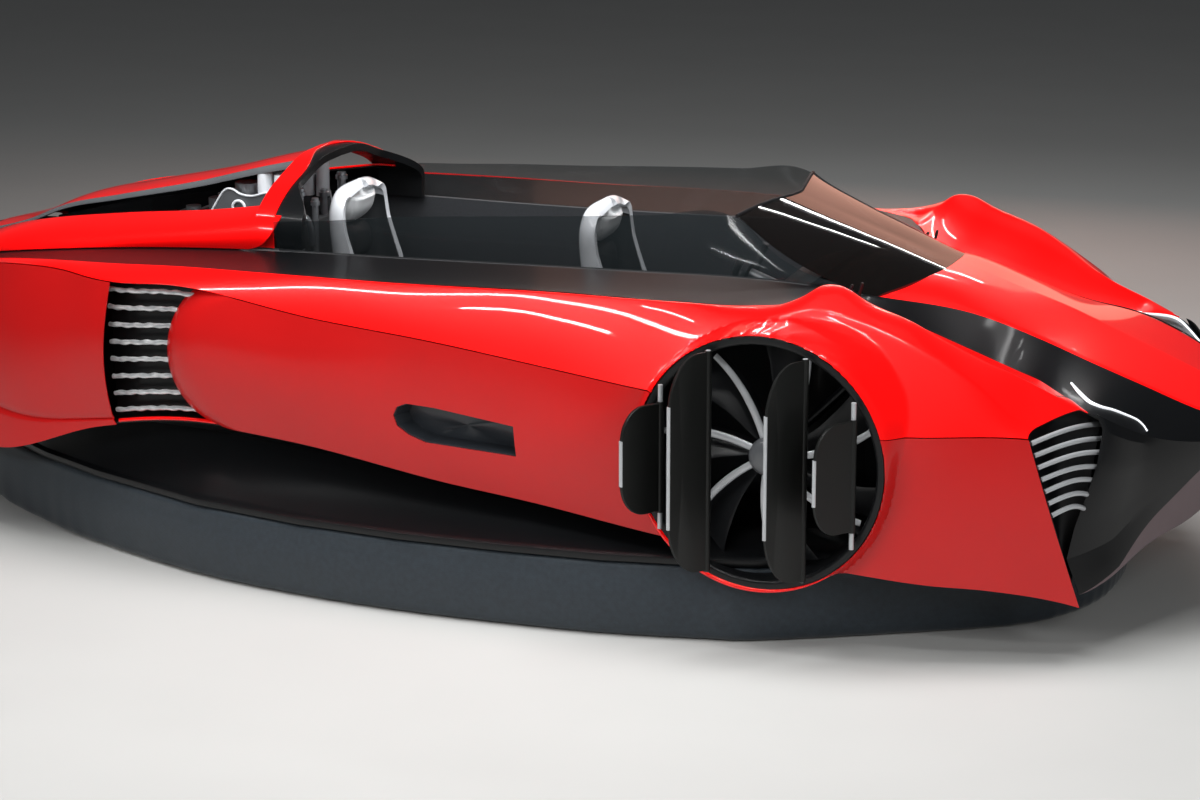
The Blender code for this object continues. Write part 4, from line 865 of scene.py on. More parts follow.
def bonnet_z(x, t):
    """Height of the bonnet at x and a share t of the way to its edge: nearly level across at
    the rear, dropping only near the edge, and two flat planes forward."""
    centre, edge = line("bonnet", x)[..., 2], line("edge", x)[..., 2]
    roof = smooth_step(1.38, 1.95, x)
    drop = (1 - roof) * t**3.5 + roof * t
    return centre + (edge - centre) * drop - 0.008 * smooth_step(0.93, 1.0, t)**2


def bonnet():
    """Red bonnet whose two halves meet at a ridge on the centre, from the windshield's foot
    to the bow."""
    v = np.linspace(-1, 1, 81)
    u = np.linspace(0, 1, 120)
    rear = foot_x(0.40 * v)
    x = rear[None] + u[:, None] * (BOW - 0.004 - rear)[None]
    t = np.abs(v)[None]
    y = v[None] * (line("edge", x)[..., 1] - SEAM)
    made = shell("bonnet_skin", np.stack([x, y, bonnet_z(x, t)], -1), RED, wall=0.009)
    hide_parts("bonnet")


def chine_share(x):
    """How far down the bow's side its chine runs, as a share of the way to the keel."""
    return np.interp(x, (2.07, 2.18, 2.3, 2.4, 2.5, BOW), (1.0, 0.97, 0.67, 0.38, 0.14, 0.02))


def nose():
    """Black bow below the deck: side above the chine, facet below it, and the stem. Its rear
    edge runs up the flank's tip, back, and out again beside the front vent's bars."""
    xs = even(POD_NOSE - 0.002, BOW - 0.004, 0.01)
    t = np.linspace(0, 1, 26)
    sill, keel = line("sill", xs), line("keel", xs)
    share = chine_share(xs)[:, None]
    chine = sill + (keel - sill) * share
    upper = between(sill, chine, t)
    upper[..., 1] += 0.03 * np.sin(math.pi * t) * (1 - smooth_step(2.1, 2.5, xs))[:, None]
    lower = between(chine, keel, t)
    bottom = np.interp(xs, (1.9, 2.06, 2.235, 2.6, 2.64), (0.15, 0.18, 0.29, 0.60, 0.63))
    stem = np.stack([xs, np.minimum(0.06, keel[:, 1] * 0.5), bottom], -1)
    under = between(keel, stem, t[1:])
    below = np.concatenate([under, stem[:, None] * (1, 0, 1)], 1)
    # The facet below the chine takes the plum-grey painted reflection; the side and the stem stay black.
    for part, grid, finish in (("side", upper, BLACK), ("facet", lower, PLUM_REFLECTION), ("under", below, BLACK)):
        edge = np.interp(grid[0, :, 2], (0.22, 0.34, 0.46, 0.56, 0.68, 0.80, 0.85),
                         (0.0, -0.045, -0.02, 0.012, 0.045, 0.055, 0.03))
        grid[..., 0] += edge[None] * (1 - smooth_step(POD_NOSE, 2.3, xs))[:, None]
        for tag, side in (("left", 1), ("right", -1)):
            made = shell(f"nose_{part}_{tag}", grid, finish, side, sharp=12)
            if side > 0 and part == "side":
                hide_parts("nose")


def spine():
    """Red spine over the engine, crowned across."""
    xs = even(POD_REAR, ARCH_REAR, 0.02)
    v = np.linspace(-1, 1, 21)
    ridge, rail = line("ridge", xs), line("rail", xs)
    y = v[None] * (rail[:, 1:2] - 0.012)
    z = rail[:, 2:] + (ridge[:, 2:] - rail[:, 2:]) * (1 - v[None]**2)
    grid = np.stack([np.broadcast_to(xs[:, None], y.shape), y, z], -1)
    made = shell("spine_skin", grid, RED, wall=0.012)
    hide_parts("spine")


def rails(side, tag):
    """Grey rail beside the spine: a rounded blade that leans out and narrows aft."""
    xs = even(POD_REAR, ARCH_REAR, 0.02)
    rail = line("rail", xs)
    depth = np.interp(xs, (-2.6, -2.0, -1.3, -1.14), (0.010, 0.018, 0.025, 0.028))
    v = np.linspace(0, 1, 10)
    out = rail[:, None] + np.stack([
        np.zeros((len(xs), len(v))), -0.010 + depth[:, None] * np.sin(v * 1.35)[None],
        -depth[:, None] * (1 - np.cos(v * 1.35))[None] / (1 - math.cos(1.35))], -1)
    made = shell(f"spine_rail_{tag}", out, GREY, side, wall=0.010)
    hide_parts(f"rail_{tag}")


def shoulder(side, tag):
    """Red shoulder beside the engine bay, round in section, with a round lower front corner,
    and a black liner inside it."""
    v = np.linspace(0, 1, 22)
    front = -1.068 - 0.12 * (1 - np.sqrt(1 - np.clip((v - 0.45) / 0.55, 0, 1)**2 * 0.99))
    u = np.linspace(0, 1, 90)
    x = POD_REAR + u[:, None] * (front - POD_REAR)[None]
    a, b, c = line("window", x), line("shoulder", x), line("edge", x) + (0, 0.004, 0.004)
    grid = arc(a, 2 * b - (a + c) / 2, c, v[None, :, None])
    made = shell(f"shoulder_skin_{tag}", grid, RED, side, wall=0.008)
    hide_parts(f"shoulder_{tag}")
    inside = grid[2:-4] - (0, 0.009, 0.009)
    liner = shell(f"shoulder_liner_{tag}", inside, NYLON, side, wall=0.004)


# Glass

def side_glass(side, tag):
    """Upright side window: from the deck's edge to the glass line, bowed out a little."""
    xs = np.concatenate([even(GLASS_REAR, 0.66, 0.02)[:-1], even(0.66, 1.08, 0.01)])
    v = np.linspace(0, 1, 14)
    a, c = line("edge", xs) - (0, 0.006, 0), line("glass", xs)
    grid = between(a, c, v)
    grid[..., 1] += 0.010 * np.sin(math.pi * v)
    made = shell(f"side_window_{tag}", grid[:, ::-1], WINDOW, side, wall=0.006)
    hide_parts(f"side_glass_{tag}")


def windshield():
    """Two halves that meet at a ridge: across, each stays near the ridge's height and falls
    to the pillar by a high power of the distance out; the foot follows the bonnet's edge."""
    ridge = smooth_path([(0.792, 0, 1.386), (0.99, 0, 1.314), (1.19, 0, 1.242),
                         (1.395 - SEAM, 0, 1.174)], 48)
    pillar = smooth_path([(0.703, 0.455, 1.378), (0.87, 0.468, 1.262), (1.02, 0.440, 1.180),
                          (foot_x(0.395) - SEAM, 0.395, 1.128)], 48)
    v = np.linspace(0, 1, 40)[None]**0.8
    u = np.linspace(0, 1, 48)[:, None]
    out = 1.2 + 2.3 * u**2
    fall = 5.0 - 2.0 * u
    x = ridge[:, None, 0] + (pillar - ridge)[:, None, 0] * v**out
    y = pillar[:, None, 1] * v
    z = ridge[:, None, 2] + (pillar - ridge)[:, None, 2] * v**fall + 0.008 * np.sin(math.pi * v)
    foot = bonnet_z(x[-1], y[-1] / line("edge", x[-1])[..., 1]) - 0.002
    z += (foot - z[-1])[None] * smooth_step(0.55, 1.0, u)
    half = np.stack([x, y, z], -1)
    grid = np.concatenate([half[:, :0:-1] * (1, -1, 1), half], 1)
    made = shell("windshield_screen", grid, SCREEN, wall=0.006, sharp=12)
    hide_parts("windshield")
    rim = smooth_path(grid[0, ::4] + (-0.002, 0, -0.003), 90)
    seal = capped("windshield_top_seal", tube(rim, 0.008, 12), RUBBER)


# Arch

def arch_line(inset, count):
    """Half hoop from the crown down to the shoulder, moved in by inset along its normal."""
    rows = smooth_path([(0, 0, 1.44), (0, 0.17, 1.431), (0, 0.32, 1.388), (0, 0.44, 1.345),
                        (0, 0.54, 1.285), (0, 0.575, 1.235), (0, 0.572, 1.145)], count)
    along = unit(np.gradient(rows, axis=0))
    normal = np.stack([along[:, 0] * 0, -along[:, 2], along[:, 1]], -1)
    moved = rows - normal * inset
    moved[0, 1] = 0
    return moved


def arch():
    """Red hoop on a black hoop that shows in front of it. Each reaches forward by the crown's
    reach, and further toward its feet by a smooth step of |y|."""
    for name, finish, inset, wall, node, slot, crown, wider, wide_from, wide_to in (
            ("arch_hoop", RED, 0.0, 0.006, "arch", "gloss_red", 0.020, 0.058, 0.02, 0.30),
            ("arch_inner", BLACK, 0.0065, 0.03, "arch_lining", "gloss_black", 0.092, 0.10, 0.36, 0.56)):
        half = arch_line(inset, 40)
        full = np.concatenate([half[:0:-1] * (1, -1, 1), half])
        reach = crown + wider * smooth_step(wide_from, wide_to, np.abs(full[:, 1]))
        x = ARCH_REAR + 0.002 + np.linspace(1, 0, 12)[None] * reach[:, None]
        grid = full[:, None] + np.stack([x, x * 0, x * 0], -1)
        made = shell(name, grid, finish, wall=wall)
        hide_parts(node)


# Skirt and hull

def hem_loop(count):
    return smooth_loop(np.concatenate([HEM, (HEM * (1, -1))[-2:0:-1]]), count)


def skirt():
    """Inflated tube carried round the plan outline: up the outer wall in a soft bulge and
    down the inner one, with faint gathers that fade toward the top."""
    loop = hem_loop(720)
    along = np.roll(loop, -1, 0) - np.roll(loop, 1, 0)
    normal = unit(np.stack([-along[:, 1], along[:, 0]], 1))
    profile = smooth_path([(-0.05, 0, 0.004), (-0.016, 0, 0.005), (0.004, 0, 0.03),
                           (0.014, 0, 0.10), (0.015, 0, 0.17), (0.008, 0, 0.23),
                           (-0.002, 0, 0.268), (-0.06, 0, 0.271), (-0.108, 0, 0.262),
                           (-0.112, 0, 0.14), (-0.09, 0, 0.03)], 44)
    d, z = profile[:, 0], profile[:, 2]
    around = np.arange(len(loop)) / len(loop)
    gather = 0.0012 * np.sin(around * 2 * math.pi * 96) * np.exp(-z[:, None] / 0.12)
    points = loop[:, None] + normal[:, None] * (d[None] + gather.T)[..., None]
    grid = np.concatenate([points, np.broadcast_to(z, points.shape[:2])[..., None]], -1)
    faces = grid_faces(*grid.shape[:2], wrap_u=True, wrap_v=True)
    made = add_mesh("skirt_tube", grid, faces, FABRIC)
    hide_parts("skirt")


def hull():
    """Dark hull above the skirt: a rolled rail on the skirt's edge, then a dished shoulder
    up to the pods' underside."""
    theta = np.linspace(0, math.pi, 160)
    xs = -0.272 - 2.295 * np.cos(theta)
    half = np.interp(xs, HEM[:, 0], HEM[:, 1])
    tuck = line("tuck", xs)
    inner = np.minimum(tuck[:, 1], np.maximum(half - 0.03, 0))
    rail = [(0.0, 0.272), (0.008, 0.278), (0.011, 0.288), (0.009, 0.300), (0.0, 0.306),
            (-0.012, 0.309)]
    ends = np.clip(half / 0.05, 0, 1)
    band = np.stack([np.stack([xs, half + d * ends, np.full_like(xs, z)], -1) for d, z in rail], 1)
    v = np.linspace(0, 1, 18)[None, 1:, None]
    start = band[:, -1:]
    stop = np.stack([xs, inner, tuck[:, 2]], -1)[:, None]
    slope = start + (stop - start) * v
    slope[..., 2] -= 0.018 * np.sin(math.pi * v[..., 0])
    grid = np.concatenate([band, slope, stop * (1, 0, 1)], 1)
    for tag, side in (("left", 1), ("right", -1)):
        made = shell(f"hull_shoulder_{tag}", grid[:, ::-1], BLACK, side, wall=0.004)
        if side > 0:
            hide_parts("hull")


# Ducts, fans and vanes

def turned(name, profile, finish, side, body, steps=144):
    """Closed ring turned about the duct's axis: rows of the profile are radius and |Y|."""
    profile = np.asarray(profile, float)
    grid = about_duct(profile[None, :, 0], turn(steps)[:, None], profile[None, :, 1])
    faces = grid_faces(*grid.shape[:2], wrap_u=True, wrap_v=True)
    if side < 0:
        faces = faces[:, ::-1]
    return add_mesh(name, mirrored(grid.reshape(-1, 3), side), faces, finish, body, 30)


def duct(side, tag):
    """Black ring with a rounded mouth, a tapered red lip along its lower rear edge, and four
    stays with the hub that carries the fan."""
    mouth = [(DUCT_R + 0.012 * (1 - math.cos(a)), DUCT_FACE - 0.012 + 0.012 * math.sin(a))
             for a in np.linspace(0, math.pi / 2, 6)]
    ring = turned(f"duct_ring_{tag}", [(DUCT_R, DUCT_BACK), *mouth, (DUCT_OUT - 0.002, DUCT_FACE),
                                       (DUCT_OUT, DUCT_FACE - 0.002), (DUCT_OUT, DUCT_BACK)],
                  BLACK, side, "craft")
    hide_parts(f"duct_{tag}")
    a = np.radians(np.linspace(192, 305, 60))
    arc_path = about_duct(DUCT_OUT + 0.006, a, DUCT_FACE - 0.004)
    taper = np.interp(np.linspace(0, 1, 60), (0, 0.25, 0.6, 1), (0.002, 0.009, 0.009, 0.002))
    lip = capped(f"duct_lip_{tag}", tube(arc_path, taper, 16, 1, (0, 1, 0)), RED, side)
    parts = []
    for k in range(4):
        a = math.radians(45 + 90 * k)
        path = about_duct(np.linspace(0.03, DUCT_R + 0.004, 8), a, 0.90)
        parts.append(capped(f"stay_{tag}_{k}", tube(path, 0.016, 14, 1.6, (0, 1, 0)), NYLON, side))
    rings = [about_duct(r, turn(32), y)
             for r, y in ((0.03, 0.865), (0.046, 0.87), (0.05, 0.88), (0.05, 0.925), (0.046, 0.93))]
    parts.append(capped(f"stay_hub_{tag}", np.array(rings)[::-1], NYLON, side))
    stays = merged(f"fan_stays_{tag}", parts)


def fan(side, tag):
    """Fan: a bare hub, wide dark blades behind, and a slim silver arm along each blade
    that sweeps round as it runs out."""
    body = f"fan_{tag}"
    parts, arms = [], []
    radius = np.linspace(0.05, DUCT_R - BLADE_GAP, 26)
    sweep = 0.05 + 0.30 * (radius / DUCT_R)**1.4
    for start in turn(FAN_BLADES):
        a = start + sweep + math.radians(12)
        twist = np.radians(np.interp(radius, (0.05, 0.25, 0.42), (52, 38, 30)))
        chord = np.interp(radius, (0.05, 0.12, 0.28, 0.42), (0.05, 0.09, 0.15, 0.17))
        out = np.stack([np.cos(a), np.zeros_like(a), np.sin(a)], -1)
        round_ = np.stack([-np.sin(a), np.zeros_like(a), np.cos(a)], -1)
        middle = np.array((DUCT_X, FAN_Y - 0.012, DUCT_Z)) + out * radius[:, None]
        wide = round_ * np.cos(twist)[:, None] + np.array((0, 1, 0)) * np.sin(twist)[:, None]
        deep = np.array((0, 1, 0)) * np.cos(twist)[:, None] - round_ * np.sin(twist)[:, None]
        s = turn(16)
        ring = (middle[:, None] + wide[:, None] * (np.cos(s) * 0.5)[None, :, None] * chord[:, None, None]
                + deep[:, None] * (np.sin(s) * 0.006)[None, :, None])
        parts.append(capped(f"blade_{tag}_{len(parts)}", ring, NYLON, side, body))
    blades = merged(f"fan_blades_{tag}", parts)
    width = np.interp(radius, (0.05, 0.2, 0.42), (0.013, 0.014, 0.011))
    for start in turn(FAN_BLADES):
        path = about_duct(radius, start + sweep, FAN_Y + 0.028 - 0.02 * (radius / DUCT_R)**2)
        arms.append(capped(f"arm_{tag}_{len(arms)}", tube(path, width, 14, 0.5, (0, 1, 0)), SATIN, side,
                           body))
    spider = merged(f"fan_arms_{tag}", arms)
    profile = ((0.015, 0.072), (0.035, 0.070), (0.054, 0.064), (0.065, 0.052), (0.068, 0.034),
               (0.068, -0.03), (0.055, -0.045))
    rings = np.array([about_duct(r, turn(48), FAN_Y + d) for r, d in profile])
    hub = capped(f"fan_hub_{tag}", rings, GREY, side, body)
    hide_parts(f"fan_{tag}")


def vane_plate(tall, chord, corner, count=14):
    """Half-round outline (forward, height) of a vane: square along the shaft, and quarter
    ellipses at the trailing corners."""
    a = np.linspace(0, math.pi / 2, count)
    rx, rz = corner
    top = np.stack([-chord + rx * (1 - np.sin(a)), tall - rz * (1 - np.cos(a))], -1)
    upper = np.concatenate([[(0.004, tall)], top])
    return np.concatenate([upper, (upper * (1, -1))[::-1]])


def vane(side, tag, k, joint):
    """Vane plate on its shaft, with a bright strip on the trailing edge and silver stubs
    where the shaft runs into the duct's rim."""
    body = f"vane_{tag}_{k}"
    x0, y0, _ = joint["pos_m"]
    offset = x0 - DUCT_X
    outer = abs(offset) > OUTER_VANE
    half = math.sqrt((DUCT_R + DUCT_WALL / 2)**2 - offset**2)
    tall = half - (OUTER_SHORT if outer else MIDDLE_SHORT)
    chord, thick = VANE_CHORD, VANE_HALF
    c, s = math.cos(math.radians(-VANE_ANGLE)), math.sin(math.radians(-VANE_ANGLE))

    def place(points):
        p = np.asarray(points, float)
        x, y, z = p[..., 0], p[..., 1], p[..., 2]
        return np.stack([x0 + x * c - y * s, y0 + x * s + y * c, DUCT_Z + z], -1)

    corner = (0.095, 0.12) if outer else (0.125, 0.19)
    outline = vane_plate(tall, chord, corner)
    rings = [np.stack([outline[:, 0] * f + (1 - f) * -0.08, np.full(len(outline), y),
                       outline[:, 1] * f], -1)
             for f, y in ((0.985, -thick), (1.0, -thick * 0.6), (1.0, thick * 0.6), (0.985, thick))]
    plate = capped(f"vane_plate_{tag}_{k}", place(np.array(rings)), PLATE, side, body, 40)
    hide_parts(body)
    shaft = np.stack([np.zeros(12), np.zeros(12), np.linspace(-tall - 0.004, tall + 0.004, 12)], -1)
    bar = capped(f"vane_tube_{tag}_{k}", place(tube(shaft, 0.0125, 20, 1, (0, 1, 0))), PLATE, side, body)
    parts = []
    for end in (-1, 1):
        stub = np.stack([np.zeros(6), np.zeros(6), end * np.linspace(tall, half - 0.002, 6)], -1)
        parts.append(capped(f"stub_{tag}_{k}_{end + 1}", place(tube(stub, 0.0085, 16, 1, (0, 1, 0))),
                            SATIN, side, body))
    run = (tall - corner[1]) * 1.1
    strip = np.stack([np.full(10, -chord + 0.002), np.zeros(10), np.linspace(-run, run, 10)], -1)
    parts.append(capped(f"strip_{tag}_{k}", place(tube(strip, 0.0065, 12, 1.2, (0, 1, 0))), SATIN,
                        side, body))
    trim = merged(f"vane_trim_{tag}_{k}", parts)


# Vents

def rear_vent(side, tag):
    """Cast bars across the gap, wavy by a few tenths of a millimetre, the dark well behind
    them, and a red lip along the foot."""
    parts = []
    xs = np.linspace(VENT_REAR - 0.03, BULLET + 0.20, 90)
    top, foot = line("crease", xs), line("flank", xs)
    for k in range(REAR_BARS):
        path = top + (foot - top) * (0.064 + 0.121 * k)
        path[:, 1] -= 0.030 - 0.012 * math.sin(math.pi * k / (REAR_BARS - 1))
        path[:, 2] += 0.0012 * np.sin(xs * 90 + 2.1 * k)
        width = SLAT_R + 0.0009 * np.sin(xs * 130 + 1.7 * k)
        parts.append(capped(f"slat_{tag}_{k}", tube(path, width, 16, 1.1), CHROME, side))
    made = merged(f"rear_vent_slats_{tag}", parts)
    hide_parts(f"rear_grille_{tag}")
    v = np.linspace(0, 1, 12)
    xs = even(VENT_REAR - 0.05, BULLET + 0.22, 0.02)
    a, c = line("crease", xs) - (0, 0.075, 0.004), line("flank", xs) - (0, 0.075, 0)
    grid = between(a, c, v)
    well = shell(f"rear_vent_back_{tag}", grid[:, ::-1], BLACK, side)
    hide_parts(f"rear_vent_well_{tag}")
    path = line("flank", even(VENT_REAR - 0.01, BULLET + 0.19, 0.02)) + (0, -0.016, 0.010)
    lip = capped(f"rear_vent_lip_{tag}", tube(path, 0.010, 12, 0.7), RED, side)


def front_vent(side, tag):
    """Seven curved bars from the raked edge in to the bow's side, in a dark well."""
    top, foot = FRONT_PLANE[0], FRONT_PLANE[1]
    parts = []
    ends = ((0.791, 2.104, 0.663), (0.748, 2.122, 0.690), (0.710, 2.122, 0.735), (0.662, 2.112, 0.755),
            (0.620, 2.100, 0.775), (0.572, 2.088, 0.795), (0.527, 2.075, 0.812))
    t = np.linspace(0, 1, 24)[:, None]
    for k, (z, x, y) in enumerate(ends):
        start = top + (foot - top) * (0.065 + 0.068 * k)
        v = (line("crease", start[0])[2] - start[2]) / (line("crease", start[0]) - line("flank", start[0]))[2]
        start[1] = side_rows(start[0], v)[1] - 0.014
        stop = np.array((x, y, z))
        path = start + (stop - start) * t + np.array((0.014, 0.008, 0.022)) * np.sin(math.pi * t)
        parts.append(capped(f"bar_{tag}_{k}", tube(path, BAR_R, 14), SATIN, side))
    made = merged(f"front_vent_bars_{tag}", parts)
    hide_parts(f"front_grille_{tag}")
    u = np.linspace(0, 1, 20)[:, None, None]
    v = np.linspace(0, 1, 16)[None, :, None]
    high, low = np.array((2.10, 0.68, 0.845)), np.array((2.04, 0.80, 0.24))
    outer = top + (foot - top) * v + (-0.010, -0.012, 0)
    inner = high + (low - high) * v
    grid = outer + (inner - outer) * u + np.array((-0.07, -0.06, 0)) * np.sin(math.pi * u)
    well = shell(f"front_vent_back_{tag}", grid[::-1], NYLON, side)


def light_blade(side, tag):
    """White light guide that lies on the deck: a slim blade whose path bends like an S."""
    rows = smooth_path([(1.963, 0.574, 0.004), (2.010, 0.641, 0.007), (2.055, 0.690, 0.007),
                        (2.092, 0.689, 0.006), (2.127, 0.655, 0.005), (2.164, 0.619, 0.0045),
                        (2.197, 0.588, 0.004), (2.220, 0.580, 0.0035), (2.236, 0.586, 0.003)], 70)
    x, y, width = rows.T
    edge, sill = line("edge", x), line("sill", x)
    path = deck(x, (y - edge[:, 1]) / (sill[:, 1] - edge[:, 1])) + (0, 0, 0.003)
    made = capped(f"light_guide_{tag}", tube(path, width, 12, 0.9), LENS, side)
    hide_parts(f"light_blade_{tag}")


# Cockpit

def cushion(name, path, front, width, finish, puff, rows):
    """Padded oval on a seat: across by a superellipse, crowned by the puff, with two shallow
    seams along it."""
    n = len(path)
    e = np.linspace(-1, 1, n)
    t = np.linspace(-1, 1, rows)
    half = width * (1 - np.abs(e * 0.999)**2.6)**(1 / 2.6)
    swell = (1 - np.abs(e)[:, None]**4) * (1 - np.abs(t)[None]**4)
    seam = 1 - 0.12 * np.exp(-((np.abs(t)[None] - 0.68) / 0.05)**2)
    grid = (path[:, None] + np.array((0, 1, 0)) * (half[:, None] * t[None])[..., None]
            + front[:, None] * (0.004 + puff * swell * seam)[..., None])
    made = shell(name, grid, finish, wall=0.008, bevel=0.003, sharp=70)


def seat(name, x0):
    """Bucket seat: a white shell whose section is a trough, carried from the front of the
    pan back, up and over a round head, with a dark lining and four cushions in it."""
    z0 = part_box(name)[1].z - SEAT_TALL
    path = smooth_path([(x0 + dx, 0, z0 + dz) for dx, dz in (
        (0.48, 0.19), (0.36, 0.165), (0.20, 0.135), (0.07, 0.14), (-0.02, 0.19), (-0.075, 0.29),
        (-0.105, 0.42), (-0.12, 0.55), (-0.125, 0.67), (-0.11, 0.742), (-0.082, 0.762))], 120)
    n = len(path)
    s = np.linspace(0, 1, n)
    width = np.interp(s, (0, 0.1, 0.3, 0.8), (0.15, 0.18, 0.188, 0.185))
    width = width * np.sqrt(np.clip(1 - (np.clip(s - 0.76, 0, 1) / 0.241)**2.2, 0, 1))
    depth = np.interp(s, (0, 0.2, 0.45, 0.62, 0.74, 0.86, 1.0), (0.03, 0.07, 0.13, 0.11, 0.075, 0.06, 0.02))
    t = np.linspace(-1, 1, 49)
    along = unit(np.gradient(path, axis=0))
    front = np.stack([along[:, 2], 0 * s, -along[:, 0]], -1)

    def trough(reach, lift, pick):
        """The seat's inner surface out to a share of its width, lifted off along its front."""
        y = np.sign(t) * (1 - (1 - np.abs(t * reach))**2.4)
        rise = depth[pick][:, None] * np.abs(t * reach)[None]**3.0 + lift
        return (path[pick][:, None] + np.array((0, 1, 0)) * (width[pick][:, None] * y[None])[..., None]
                + front[pick][:, None] * rise[..., None])

    back = shell(f"{name}_shell", trough(1.0, 0.0, slice(None))[:, ::-1], GEL, wall=0.024, bevel=0.008,
                 sharp=80)
    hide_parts(name)
    lining = shell(f"{name}_lining", trough(0.965, 0.004, slice(6, 100))[:, ::-1], HIDE, wall=0.003,
                   sharp=80)
    for part, low, high, half, puff, finish in (
            ("pan_cushion", 0.04, 0.34, 0.150, 0.055, HIDE),
            ("low_cushion", 0.50, 0.625, 0.115, 0.035, HIDE),
            ("back_cushion", 0.635, 0.755, 0.120, 0.035, HIDE),
            ("head_cushion", 0.755, 0.965, 0.128, 0.055, PALE)):
        pick = (s > low) & (s < high)
        cushion(f"{name}_{part}", path[pick] + front[pick] * 0.006, front[pick], half, finish, puff, 41)


def dash():
    """Dash hood: a padded roll across the tub, falling away to the sides."""
    v = np.linspace(-1, 1, 41)[None]
    a = np.linspace(-0.25 * math.pi, 1.1 * math.pi, 30)[:, None]
    radius, half, middle = 0.085, 0.40, (0.862, 1.045)
    grid = np.stack(np.broadcast_arrays(middle[0] - radius * np.cos(a), half * v,
                                        middle[1] + 0.95 * radius * np.sin(a) - 0.03 * v**2), -1)
    hood = shell("dash_hood", grid, HIDE, wall=0.008)
    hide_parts("dash")


def yoke():
    """Steering yoke: a hub with two arms and grips, and the column behind it."""
    joint = next(j for j in frame["joints"] if j["name"] == "yoke_turn")
    end = np.array(joint["pos_m"])
    axis = unit(np.array(joint["axis"], float))
    up = np.cross((0, 1, 0), axis)
    across = np.array((0, 1, 0))
    out = end + axis * 0.018
    grips = [smooth_path([out + across * k * 0.03, out + across * k * 0.09 - up * 0.005,
                          out + across * k * 0.135 + up * 0.01, out + across * k * 0.15 + up * 0.05,
                          out + across * k * 0.148 + up * 0.085], 30) for k in (-1, 1)]
    grips += [smooth_path([out + across * k * 0.09 - up * 0.005, out + across * k * 0.14 - up * 0.015,
                           out + across * k * 0.15 - up * 0.065], 20) for k in (-1, 1)]
    parts = [capped(f"grip_{k}", tube(p, 0.0135, 14, 1, axis), HIDE, 1, "steering_yoke")
             for k, p in enumerate(grips)]
    centre = np.array([end + axis * d for d in (0.001, 0.004, 0.026, 0.030)])
    parts.append(capped("boss", tube(centre, (0.040, 0.045, 0.045, 0.038), 28, 1, (0, 1, 0)), HIDE, 1,
                        "steering_yoke"))
    made = merged("yoke_grips", parts)
    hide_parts("steering_yoke")
    column = np.array([end - axis * d for d in np.linspace(0.001, 0.22, 8)])
    bar = capped("yoke_column", tube(column, 0.022, 24, 1, (0, 1, 0)), ALLOY)


def engine():
    """Open engine seen beside the spine: cam-cover plates with a pale rim and a ring, white
    canisters, pipes and fins."""
    parts, pale = [], []
    for side in (1, -1):
        outline = smooth_path([(-1.575, 0, 1.13), (-1.53, 0, 1.205), (-1.485, 0, 1.272), (-1.45, 0, 1.284),
                               (-1.41, 0, 1.266), (-1.36, 0, 1.262), (-1.30, 0, 1.278), (-1.265, 0, 1.27),
                               (-1.235, 0, 1.21), (-1.22, 0, 1.13)], 70)
        path = outline + (0, side * 0.215, 0)
        pale.append(capped(f"cover_rim_{side + 1}", tube(path, 0.0045, 12, 1, (0, 1, 0)), GEL))
        grid = between(path, path * (1, 1, 0) + (0, 0, 1.0), np.linspace(0, 1, 10))
        plate = shell(f"cam_cover_{'left' if side > 0 else 'right'}", grid, GREY, wall=side * 0.02)
        a, section = turn(39), turn(12)
        radius = 0.026 + 0.006 * np.cos(section)
        ring = np.stack([-1.415 + radius[None] * np.cos(a)[:, None],
                         side * (0.225 + 0.006 * np.sin(section))[None] + 0 * a[:, None],
                         1.215 + radius[None] * np.sin(a)[:, None]], -1)
        faces = grid_faces(len(a), len(section), wrap_u=True, wrap_v=True)
        pale.append(add_mesh(f"cover_ring_{side + 1}", ring, faces[:, ::-side], GEL))
        for k, (x, r, high) in enumerate(((-1.318, 0.030, 1.352), (-1.25, 0.027, 1.348))):
            path = [(x, side * 0.185, z) for z in (1.20, high - 0.006, high, high + 0.001)]
            radii = r * np.array((1, 1, 0.94, 0.6))
            pale.append(capped(f"can_{side + 1}_{k}", tube(path, radii, 28, 1, (0, 1, 0)), GEL))
        for k, (x, y, r, high) in enumerate(((-1.17, 0.19, 0.024, 1.30), (-1.12, 0.155, 0.018, 1.26),
                                             (-1.215, 0.12, 0.02, 1.24))):
            path = [(x, side * y, z) for z in (1.05, high - 0.03, high - 0.028, high - 0.012,
                                               high - 0.01, high)]
            radii = r * np.array((0.7, 0.7, 1.0, 1.0, 0.8, 0.75))
            parts.append(capped(f"valve_{side + 1}_{k}", tube(path, radii, 24, 1, (0, 1, 0)), ALLOY))
        hose = smooth_path([(-1.17, side * 0.19, 1.17), (-1.14, side * 0.20, 1.19),
                            (-1.125, side * 0.19, 1.15), (-1.13, side * 0.17, 1.08)], 24)
        parts.append(capped(f"hose_{side + 1}", tube(hose, 0.012, 14, 1, (0, 1, 0)), ALLOY))
    for k in range(9):
        x = -1.76 + 0.055 * k
        path = np.array([(x, y, 1.075 + 0.01 * math.cos(y * 6)) for y in np.linspace(-0.19, 0.19, 12)])
        parts.append(capped(f"fin_{k}", tube(path, 0.012, 10, 2.4), ALLOY))
    for name, group in (("engine_castings", parts), ("engine_canisters", pale)):
        made = merged(name, group)


